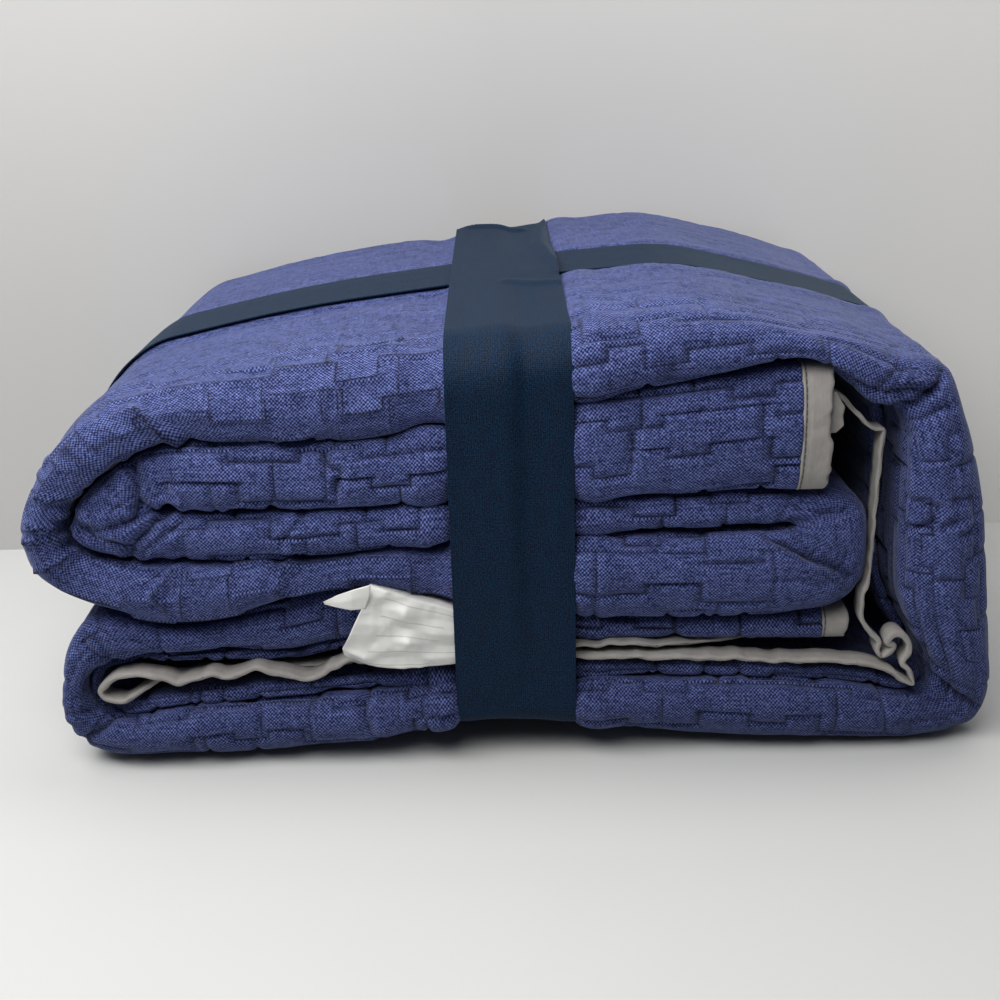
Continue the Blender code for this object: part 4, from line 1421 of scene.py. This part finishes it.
# The bound free edge as it runs through the pack, stretch by stretch
EDGE_ROUTE = {
    "below the lower end": ((144, 48.5, -118, 2.4),),
    "under layer 5": (
        (112, 49.5, -122, 2.4), (84, 50, -129, 2.8), (51, 52, -134.5, 3.2), (23, 53, -134.5, 3.4),
    ),
    "behind the ring": ((-8, 53, -135, 4.6),),
    "under layer 5, left": (
        (-31, 53, -136.5, 5.8), (-50, 50.5, -137, 5), (-66, 48.5, -137, 5), (-76.5, 49, -137, 5),
    ),
    "wave": (
        (-83.5, 46.5, -137.5, 4.8), (-88.5, 42.5, -137, 5), (-95.5, 40.5, -137, 5),
        (-104.5, 42.5, -137, 4.8), (-111.5, 45, -137.5, 4.8), (-117.5, 47, -137, 5),
        (-124, 44.5, -137, 5), (-131, 43, -137.5, 4.8), (-138.5, 44, -137.5, 5),
        (-144.5, 42, -137, 5), (-151, 41, -137.5, 5),
    ),
    "bottom left loop": (
        (-158, 42.5, -137.5, 5.2), (-164, 44.5, -138, 5.2), (-171, 46, -138, 5.2),
        (-179.5, 44.5, -138.5, 5.2), (-185, 41, -138.5, 5), (-187, 37, -138.5, 5),
        (-184.5, 33.5, -138.5, 5), (-178.5, 33, -138, 5), (-172.5, 36, -137, 4.8),
        (-167.5, 38, -134, 4.4),
    ),
    "goes behind": ((-160, 38.5, -128, 3.6),),
    "on layer 6": (
        (-127, 39.5, -124, 2.6), (-79, 42, -124, 2.6), (-32, 46.5, -126, 3), (2, 47.5, -131, 3.6),
        (23, 48, -136, 4.2), (51, 47, -137, 4.4), (71, 46, -137, 4.4), (96, 45, -137, 4.6),
        (118, 43, -137, 4.6), (135, 43, -137.5, 4.6), (150, 42, -138, 4.8), (162, 38.5, -138.5, 4.6),
    ),
    "corner tip": ((171, 33, -139, 3.8), (175.5, 31.5, -139, 3),),
    "crumple": (
        (173, 38, -139, 3.8), (170.5, 42.5, -138.5, 4.4), (172.5, 47, -138.5, 4.6),
        (172, 51.5, -138, 4.8), (169, 54.5, -138, 6), (164.5, 54, -138, 5.6), (163, 51, -137.5, 4.4),
        (166, 48.5, -137, 4.2), (164, 45, -136.5, 4.2), (161.5, 43.5, -136, 4.2),
        (159.5, 47, -135.5, 4.2), (160, 50.5, -135, 4.2),
    ),
    "inside the right": (
        (157, 53.5, -134.5, 4.4), (154, 57, -134, 4), (151.5, 63, -133.5, 3.6), (152, 69, -133, 3.2),
        (153.5, 77.5, -132.5, 3), (155, 91.5, -131.5, 3), (155, 101.5, -131.5, 3),
        (155, 115.5, -131.5, 3.2), (155.5, 133.5, -131.5, 3.4), (156, 142, -131.5, 3.4),
        (156, 147.5, -131.5, 3.4),
    ),
    "below layer 1": (
        (153, 148, -131.5, 3.2), (149, 150.5, -131.5, 3.2), (144.5, 155, -131.5, 3.4),
        (139.5, 160.5, -131, 3.4), (135.5, 163, -130.5, 3.2), (132, 164, -130, 2.8),
    ),
}


@dataclass
class LongEdgeBinding:
    """The binding along the free long edge, a soft bead that waves along the roll."""

    finish: bpy.types.Material
    width: float = 10.0
    spacing: float = 1.0
    fullness: float = 0.56  # of the thickness given for each point
    wrinkle: float = 0.36
    kink: float = 1.1
    nose_points: int = 11

    @staticmethod
    def points() -> list[EdgePoint]:
        """All points of the route in order."""
        return [EdgePoint(*point) for stretch in EDGE_ROUTE.values() for point in stretch]

    def skin(self) -> Skin:
        """The bead's surface."""
        path, _ = smooth_path(self.points(), self.spacing)
        middle = path[:, 0:2]
        u = measure_along(middle)
        jog = [Unevenness(seed).at(u / 5.5, u * 0.0 + 0.5) * self.kink for seed in (22, 23)]
        middle = middle + np.column_stack([0.4 * jog[0], jog[1]])
        along = np.gradient(middle, axis=0)
        along /= np.linalg.norm(along, axis=1)[:, None]
        aside = np.column_stack([-along[:, 1], along[:, 0]])
        angles = np.linspace(0, math.pi, self.nose_points)
        across = np.concatenate([np.cos(angles) / 2, [-0.4, -0.28, 0.28, 0.4]])
        depth = np.concatenate([(1 - np.sin(angles)) / 2, [0.5, 0.5, 0.5, 0.5]])
        back = np.concatenate([np.zeros(self.nose_points), [0.45, 1.0, 1.0, 0.45]])
        uneven = Unevenness(21)
        thick = path[:, 3:4] * self.fullness
        around = np.arange(len(across))[None, :]
        swell = uneven.at(u[:, None] / 6.0, around / 5.0)
        swell = swell + 0.6 * uneven.at(u[:, None] / 2.4, around / 3.0 + 9)
        swollen = np.sign(across) * self.wrinkle * (back < 0.9)
        size = thick * across[None, :] + swollen[None, :] * swell
        y = path[:, 2:3] + thick * depth[None, :] + back[None, :] * self.width
        y = y + 0.5 * self.wrinkle * swell * (back[None, :] < 0.1)
        flat = middle[:, None, :] + aside[:, None, :] * size[:, :, None]
        points = np.stack([flat[:, :, 0], y, height_at(flat[:, :, 1], y)], axis=2)
        step = np.linalg.norm(np.roll(points, -1, axis=1) - points, axis=2)
        v = np.concatenate([np.zeros((len(step), 1)), np.cumsum(step, axis=1)], axis=1)
        return Skin(points, u + 20.0, v)

    def build(self) -> bpy.types.Object:
        """The piece, in place of its solid."""
        skin = self.skin()
        thing = skin.piece("long_edge_binding_cloth", self.finish)
        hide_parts("long_edge_binding")
        length = float(skin.u[-1] - skin.u[0]) * MM
        thickness = float(np.mean([point.thickness for point in self.points()])) * self.fullness
        flat = (round((self.width + thickness) * MM, 4), round(length, 3))
        return thing


@dataclass
class EndBinding:
    """The binding over a cut end of the strip, stitched down at its inner edge."""

    name: str
    node: str
    rib: Rib
    columns: int = 110
    width: float = 12.4
    steps: int = 16
    proud: float = 0.7
    wave: float = 1.5

    def skin(self, quilt: FoldedQuilt) -> Skin:
        """The binding's surface, rounded off at its outer edge."""
        rib = self.rib
        shares = 1 - np.cos(np.linspace(0, math.pi / 2, self.steps))
        out = np.concatenate([[0.0, 0.4], self.width * (0.06 + 0.94 * np.sort(1 - shares))])
        out = np.maximum.accumulate(np.minimum(out, self.width))
        end = np.clip((out - self.width + 1.8) / 1.8, 0.0, 1.0)
        draw = 1.3 * (1 - np.sqrt(1 - np.minimum(end, 0.999) ** 2)) - self.proud
        outer = np.array([rib.outer_x, rib.outer_z])
        inner = np.array([rib.inner_x, rib.inner_z])
        across = (inner - outer) / np.linalg.norm(inner - outer)
        shift = np.column_stack([out + 0.1, np.zeros_like(out)])
        manner = np.tile(np.array(rib.place.value, dtype=float), (len(out), 1))
        at = Sections(
            outer + shift + across * draw[:, None],
            inner + shift - across * draw[:, None],
            rib.set_back + draw,
            manner,
            np.zeros_like(out),
            out,
        )
        plain, _, _ = quilt.plain_skin(at, self.columns)
        points = plain.points.copy()
        z = points[:, :, 2]
        sway = Unevenness(31).at(z / 9.0, np.full_like(z, 0.5)) + 0.6 * Unevenness(33).at(z / 3.1, 0 * z)
        points[:, :, 0] += self.wave * sway * (out / self.width)[:, None] ** 3
        dimple = Unevenness(32).at(z / 4.0, out[:, None] / 6.0 + 0 * z) * 0.35
        seam = -0.6 * bell(out[:, None] - 1.7, 0.6) + 0 * z
        points[:, :, 1] += np.where(points[:, :, 1] < 0, -(dimple + seam), 0.0)
        return Skin(points, plain.u, plain.v)

    def build(self, quilt: FoldedQuilt, finish: bpy.types.Material) -> bpy.types.Object:
        """The piece, in place of its solid."""
        thing = self.skin(quilt).piece(self.name, finish)
        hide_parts(self.node)
        return thing


def facet_grid(rows: Sequence[Sequence[Sequence[float]]], spacing: float) -> np.ndarray:
    """A fine grid of points on the flat facets between the points of a coarse one.

    Args:
        rows: rows of points, all of one length.
        spacing: the greatest distance between two points of the result.

    Returns:
        The fine grid, with its creases a little softened.
    """
    grid = np.asarray(rows, dtype=float)
    for _ in range(2):
        gaps = np.linalg.norm(np.diff(grid, axis=0), axis=2).max(axis=1)
        steps = np.maximum(1, np.ceil(gaps / spacing)).astype(int)
        at = np.concatenate([i + np.arange(n) / n for i, n in enumerate(steps)] + [[len(steps)]])
        low = np.minimum(at.astype(int), len(steps) - 1)
        share = (at - low)[:, None, None]
        fine = grid[low] * (1 - share) + grid[low + 1] * share
        fine[1:-1] = (fine[:-2] + 2 * fine[1:-1] + fine[2:]) / 4
        grid = fine.transpose(1, 0, 2)
    return grid


def measure_along(line: np.ndarray) -> np.ndarray:
    """How far along a line each of its points lies."""
    steps = np.linalg.norm(np.diff(line, axis=0), axis=1)
    return np.concatenate([[0.0], np.cumsum(steps)])


def small_cloth(
    name: str,
    grid: np.ndarray,
    thickness: float,
    finish: bpy.types.Material,
) -> bpy.types.Object:
    """A small piece of cloth, carried back with the pack's rise.

    Args:
        name: the piece's name.
        grid: rows of points (x, y, z) on the middle of the cloth.
        thickness: of the cloth.
        finish: its material.

    Returns:
        The object, whose u runs across it and whose v runs down it.
    """
    across = measure_along(grid[len(grid) // 2])
    down = measure_along(grid[:, grid.shape[1] // 2])
    grid = grid.copy()
    grid[:, :, 2] = height_at(grid[:, :, 2], grid[:, :, 1])
    thing = slab(grid, down, across, thickness).piece(name, finish)
    layer = thing.data.uv_layers["strip"].data
    turned = np.empty(len(layer) * 2, dtype=np.float32)
    layer.foreach_get("uv", turned)
    layer.foreach_set("uv", turned.reshape(-1, 2)[:, ::-1].ravel())
    return thing


@dataclass
class BindingTab:
    """The inner ply of the upper end binding, which peeps out past the binding's edge."""

    finish: bpy.types.Material
    spacing: float = 0.8
    thickness: float = 0.8

    ROWS = (
        ((127, -134, 167), (130.5, -136, 167), (133.2, -137.5, 165.8)),
        ((127, -134, 161.5), (132.5, -137, 161), (137.4, -137.0, 159.4)),
        ((127, -134, 157), (132.0, -138.5, 156.5), (136.6, -137.0, 155.6)),
        ((127, -134, 152), (132.8, -137, 152), (137.2, -138.0, 151.8)),
        ((127, -134, 148), (131, -136, 148), (134.4, -137.0, 148.4)),
    )

    def build(self) -> bpy.types.Object:
        """The piece, behind the binding's edge."""
        grid = facet_grid(self.ROWS, self.spacing)
        thing = small_cloth("end_binding_upper_ply", grid, self.thickness, self.finish)
        return thing


@dataclass
class CareLabel:
    """The white satin label that hangs out between layers 4 and 5, creased, with one corner folded."""

    finish: bpy.types.Material
    thickness: float = 0.45
    spacing: float = 0.9
    crumple: float = 1.0

    # Rows from the held edge to the free end, each from left to right: x, y and z of the front face
    BODY = (
        ((-62, -112, 84), (-54, -112, 82), (-46, -112, 79), (-34, -112, 75), (-20, -112, 71)),
        ((-64, -130, 85), (-55, -130, 83.5), (-46, -130, 80.5), (-34, -130, 76), (-20, -130, 71)),
        ((-64, -143, 88), (-56, -145, 85.5), (-47, -142.5, 81), (-34, -141.5, 76.5), (-20, -140, 70)),
        ((-67, -147.5, 80), (-59, -144, 78.5), (-49, -147, 75), (-38, -142, 71), (-20, -140, 66)),
        ((-71, -148.5, 72.5), (-60, -147.5, 71), (-50, -143.5, 68), (-37, -145, 65), (-20, -140, 61.5)),
        ((-74.5, -148, 65), (-63, -145, 62), (-48, -147.5, 62), (-36, -142, 58.5), (-20, -140, 56.5)),
        ((-77.5, -144.5, 59), (-68, -148, 55.5), (-53, -144, 54.5), (-39, -144.5, 53), (-20, -140, 52)),
        ((-77, -142, 55), (-67, -144.5, 51), (-51, -146, 49), (-37, -142, 48.6), (-20, -140, 49)),
    )
    FLAP = (
        ((-84.5, -142, 80.4), (-78, -145, 84.6), (-71, -147.5, 88), (-63, -147, 90)),
        ((-84.2, -142, 79.8), (-78, -145.5, 81.6), (-71.5, -148.2, 83.5), (-63.5, -147.5, 85.5)),
        ((-84.0, -142, 79.3), (-78, -145, 79), (-72, -147.5, 78.6), (-66, -147, 79)),
    )

    def sheet(self, name: str, rows: Sequence, amount: float, seed: int) -> bpy.types.Object:
        """One layer of the label, with its creases.

        Args:
            name: the piece's name.
            rows: rows of points on its front face.
            amount: how deep it is crumpled.
            seed: of the crumples.

        Returns:
            The object.
        """
        grid = facet_grid(rows, self.spacing)
        x, z = grid[:, :, 0], grid[:, :, 2]
        uneven = Unevenness(seed)
        fold = np.abs(uneven.at((x + z) / 9.0, (x - z) / 15.0))
        fold = fold + 0.6 * np.abs(uneven.at(x / 6.0 + 40, z / 5.0))
        hangs = ramp(-grid[:, :, 1], 132.0, 142.0) * (1 - ramp(x, -44.0, -30.0))
        grid[:, :, 1] += amount * (fold - 0.3) * hangs
        return small_cloth(name, grid, self.thickness, self.finish)

    def build(self) -> list[bpy.types.Object]:
        """The label and its folded corner, in place of the label's solid."""
        body = self.sheet("care_label_ribbon", self.BODY, self.crumple, 41)
        flap = self.sheet("care_label_corner", self.FLAP, 0.3, 42)
        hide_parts("care_label")
        return [body, flap]


# ---------------------------------------------------------------------------
# Rings
# ---------------------------------------------------------------------------


class Plane(Enum):
    """The plane that a ring lies round: the axis across the ring and the two axes of its plane."""

    UPRIGHT = (0, 1, 2)
    LEVEL = (1, 0, 2)


def hull(points: np.ndarray) -> np.ndarray:
    """The corners of the smallest convex outline round points of a plane, counterclockwise."""
    ordered = points[np.lexsort((points[:, 1], points[:, 0]))]

    def half(line: np.ndarray) -> list[np.ndarray]:
        """The lower chain."""
        chain: list[np.ndarray] = []
        for point in line:
            while len(chain) > 1:
                a, b = chain[-1] - chain[-2], point - chain[-2]
                if a[0] * b[1] - a[1] * b[0] > 0:
                    break
                chain.pop()
            chain.append(point)
        return chain

    return np.array(half(ordered)[:-1] + half(ordered[::-1])[:-1])


class Pinch(NamedTuple):
    """A fold that stands up in the top of a ring, drawn through points (x, y)."""

    points: tuple[tuple[float, float], ...]
    height: float
    width: float


PINCHES = (
    Pinch(((-25, 138), (-8, 123), (9, 107)), 2.0, 3.0),
    Pinch(((26, 134), (20, 90), (18, 45), (21, 5), (27, -32)), 3.0, 3.2),
    Pinch(((0, -43), (12, -50), (24, -52)), 1.2, 3.6),
)
RING_HEART = (0.0, 100.0)  # a point that both rings go round, in the plane of either


@dataclass
class ElasticRing:
    """A woven elastic ring drawn tight round the pack.

    Attributes:
        name: the piece's name.
        node: the solid that it stands for.
        plane: how it lies.
        middle: where it lies along the axis across it.
        heart: a point of its plane inside the ring.
        width: of the elastic.
        thickness: of the elastic.
        gap: between the ring and what lies under it.
        spacing: between two rows of points along the ring.
        reach: how far to either side the pack counts at each place across the ring.
        lowest: how low its middle surface lies on the floor.
        crossing: how much higher it lies where it crosses the other ring below the pack.
        pinches: the folds in its top.
    """

    name: str
    node: str
    plane: Plane
    middle: float
    heart: tuple[float, float]
    width: float = BAND_WIDTH
    thickness: float = 1.0
    gap: float = 0.15
    spacing: float = 2.0
    reach: float = 4.0
    lowest: float = 0.8
    crossing: float = 0.0
    pinches: tuple[Pinch, ...] = ()

    def columns(self) -> np.ndarray:
        """Places across the ring, closer at its edges."""
        half = self.width / 2
        inner = np.linspace(-half + 1.0, half - 1.0, 25)
        return np.concatenate([[-half, -half + 0.3], inner, [half - 0.3, half]])

    def radii(self, cloud: np.ndarray, place: float, angles: np.ndarray) -> np.ndarray:
        """How far the pack's tight outline is from the heart.

        Args:
            cloud: points on the pack and on whatever else lies under the ring.
            place: where along the axis across the ring.
            angles: the directions.

        Returns:
            The distances.
        """
        side, first, second = self.plane.value
        near = cloud[np.abs(cloud[:, side] - place) < self.reach]
        corners = hull(near[:, (first, second)])
        ahead = np.roll(corners, -1, axis=0)
        parts = np.linspace(0, 1, 60, endpoint=False)[None, :, None]
        dense = (corners[:, None, :] + (ahead - corners)[:, None, :] * parts).reshape(-1, 2) - self.heart
        turn = np.arctan2(dense[:, 1], dense[:, 0])
        order = np.argsort(turn)
        return np.interp(angles, turn[order], np.hypot(dense[:, 0], dense[:, 1])[order], period=math.tau)

    def skin(self, cloud: np.ndarray) -> Skin:
        """The ring's surface round a cloud of points."""
        dense = np.linspace(-math.pi, math.pi, 4000, endpoint=False)
        radius = self.radii(cloud, self.middle, dense)
        step = np.hypot(np.gradient(radius * np.cos(dense)), np.gradient(radius * np.sin(dense)))
        length = np.concatenate([[0.0], np.cumsum(step)])[:-1]
        count = round(length[-1] / self.spacing)
        angles = np.interp(np.linspace(0, length[-1], count, endpoint=False), length, dense)
        places = self.columns()
        inside = np.clip(places, -self.width / 2 + 7.0, self.width / 2 - 7.0)
        table = np.array([self.radii(cloud, self.middle + place, angles) for place in inside])
        for _ in range(2):
            table[1:-1] = (table[:-2] + table[1:-1] * 2 + table[2:]) / 4
            table = (np.roll(table, 1, axis=1) + table * 2 + np.roll(table, -1, axis=1)) / 4
        slope = (table[-8] - table[7]) / (places[-8] - places[7])
        table += 0.7 * slope[None, :] * (places - inside)[:, None]
        first = self.heart[0] + table.T * np.cos(angles)[:, None]
        second = self.heart[1] + table.T * np.sin(angles)[:, None]
        du = np.roll(first, -1, axis=0) - np.roll(first, 1, axis=0)
        dv = np.roll(second, -1, axis=0) - np.roll(second, 1, axis=0)
        size = np.hypot(du, dv)
        out = self.gap + self.thickness / 2
        first = first + dv / size * out
        second = second - du / size * out
        lowest = self.lowest + self.crossing * (1 - ramp(np.abs(first - UPRIGHT_X), 29.0, 45.0))
        second = np.maximum(second, lowest)
        grid = np.empty((*first.shape, 3))
        side, a, b = self.plane.value
        grid[:, :, side] = self.middle + places[None, :]
        grid[:, :, a] = first
        grid[:, :, b] = second
        for pinch in self.pinches:
            near = distance_to_line(grid[:, :, 0], grid[:, :, 1], pinch.points)
            grid[:, :, 2] += pinch.height * bell(near, pinch.width) * ramp(grid[:, :, 2], 150.0, 175.0)
        u = np.linspace(0, length[-1], count, endpoint=False)
        return slab(grid, u, places + self.width / 2, self.thickness, closed=True)

    def build(self, cloud: np.ndarray, finish: bpy.types.Material) -> Skin:
        """The piece, in place of its solid.

        Args:
            cloud: points on everything under the ring.
            finish: the elastic.

        Returns:
            The ring's skin.
        """
        skin = self.skin(cloud)
        thing = skin.piece(self.name, finish)
        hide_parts(self.node)
        self.width * MM
        return skin


# ---------------------------------------------------------------------------
# Studio
# ---------------------------------------------------------------------------


class Lamp(NamedTuple):
    """A soft rectangular light aimed at a point, in metres and watts."""

    name: str
    place: tuple[float, float, float]
    aim: tuple[float, float, float]
    size: tuple[float, float]
    power: float
    tint: Colour = (1.0, 0.985, 0.965)

    def build(self) -> None:
        """The light."""
        data = bpy.data.lights.new(self.name, "AREA")
        data.shape = "RECTANGLE"
        data.size, data.size_y = self.size
        data.energy = self.power
        data.color = self.tint
        thing = bpy.data.objects.new(self.name, data)
        thing.location = self.place
        thing.rotation_euler = (Vector(self.aim) - Vector(self.place)).to_track_quat("-Z", "Y").to_euler()
        bpy.context.scene.collection.objects.link(thing)


@dataclass
class Studio:
    """The floor, the wall, the lights and the camera, in metres."""

    floor_size: float = 4.0
    floor_colour: Colour = (0.555, 0.565, 0.56)
    wall_behind: float = 0.006
    wall_height: float = 1.6
    wall_colour: Colour = (0.55, 0.548, 0.546)
    # Painted light on the wall, paler to the right.
    wall_painted_light_right: float = 0.36
    sky_colour: Colour = (0.93, 0.96, 1.0)
    sky_strength: float = 0.075
    key: Lamp = Lamp("key", (-0.34, -0.37, 0.72), (0.0, 0.0, 0.08), (1.0, 0.45), 9.7)
    overhead: Lamp = Lamp("overhead", (0.2, 0.0, 0.9), (0.2, 0.1, 0.1), (0.9, 0.25), 2.5)
    eye: tuple[float, float, float] = (-0.007, -0.64347, 0.29438)
    pitch: float = 18.7  # degrees below level
    roll: float = 1.6
    lens: float = 45.3

    @staticmethod
    def plane(name: str, corners: Sequence[Sequence[float]], finish: bpy.types.Material) -> None:
        """A flat stage surface through four corners, counterclockwise on its face."""
        mesh = bpy.data.meshes.new(name)
        mesh.from_pydata([tuple(corner) for corner in corners], [], [(0, 1, 2, 3)])
        mesh.materials.append(finish)
        thing = bpy.data.objects.new(name, mesh)
        bpy.context.scene.collection.objects.link(thing)

    def surroundings(self) -> None:
        """The floor, the wall and the sky light."""
        half, top = self.floor_size / 2, self.wall_height
        floor = StageFinish("floor_matt", self.floor_colour, 0.6).material()
        self.plane("floor", ((-half, -half, 0), (half, -half, 0), (half, half, 0), (-half, half, 0)), floor)
        y = CAD_BOX[1][1] + self.wall_behind
        wall = StageFinish("wall_matt", self.wall_colour, 0.9, self.wall_painted_light_right, True).material()
        self.plane("wall", ((-half, y, 0), (half, y, 0), (half, y, top), (-half, y, top)), wall)
        world = bpy.data.worlds.new("room_light")
        world.use_nodes = True
        background = world.node_tree.nodes["Background"]
        background.inputs["Color"].default_value = (*self.sky_colour, 1.0)
        background.inputs["Strength"].default_value = self.sky_strength
        bpy.context.scene.world = world

    def camera(self) -> None:
        """The camera, in front and a little above, turned slightly about its own axis."""
        pitch, roll = math.radians(self.pitch), math.radians(self.roll)
        right, up = Vector((1, 0, 0)), Vector((0, math.sin(pitch), math.cos(pitch)))
        ahead = Vector((0, math.cos(pitch), -math.sin(pitch)))
        across = right * math.cos(roll) - up * math.sin(roll)
        above = right * math.sin(roll) + up * math.cos(roll)
        columns = Matrix((across, above, -ahead)).transposed().to_4x4()
        data = bpy.data.cameras.new("camera")
        data.lens = self.lens
        data.sensor_width = 36.0
        thing = bpy.data.objects.new("camera", data)
        thing.matrix_world = Matrix.Translation(self.eye) @ columns
        bpy.context.scene.collection.objects.link(thing)
        bpy.context.scene.camera = thing

    def build(self) -> None:
        """The whole stage."""
        self.surroundings()
        self.key.build()
        self.overhead.build()
        self.camera()
        bpy.context.scene.view_settings.view_transform = "Standard"


def main() -> None:
    """Build every piece, dress it and light it."""
    logging.basicConfig(level=logging.INFO, format="%(message)s")
    Studio().build()
    quilting = Quilting()
    quilt = FoldedQuilt(quilting, ChambrayFinish().material(quilting))
    parts = quilt.build()
    cotton = BindingFinish().material()
    LongEdgeBinding(cotton).build()
    EndBinding("end_binding_upper_cloth", "end_binding_upper", RIBS[-1]).build(quilt, cotton)
    EndBinding("end_binding_lower_cloth", "end_binding_lower", RIBS[0]).build(quilt, cotton)
    BindingTab(cotton).build()
    CareLabel(SatinFinish().material()).build()
    elastic = ElasticFinish().material()
    cloud = np.vstack([skin.points.reshape(-1, 3) for _, skin in parts])
    level = ElasticRing("ring_level", "band_level", Plane.LEVEL, LEVEL_Y, RING_HEART, crossing=1.7)
    level_skin = level.build(cloud, elastic)
    cloud = np.vstack([cloud, level_skin.points.reshape(-1, 3)])
    upright = ElasticRing(
        "ring_upright", "band_upright", Plane.UPRIGHT, UPRIGHT_X, RING_HEART, pinches=PINCHES
    )
    upright.build(cloud, elastic)


if __name__ == "__main__":
    main()
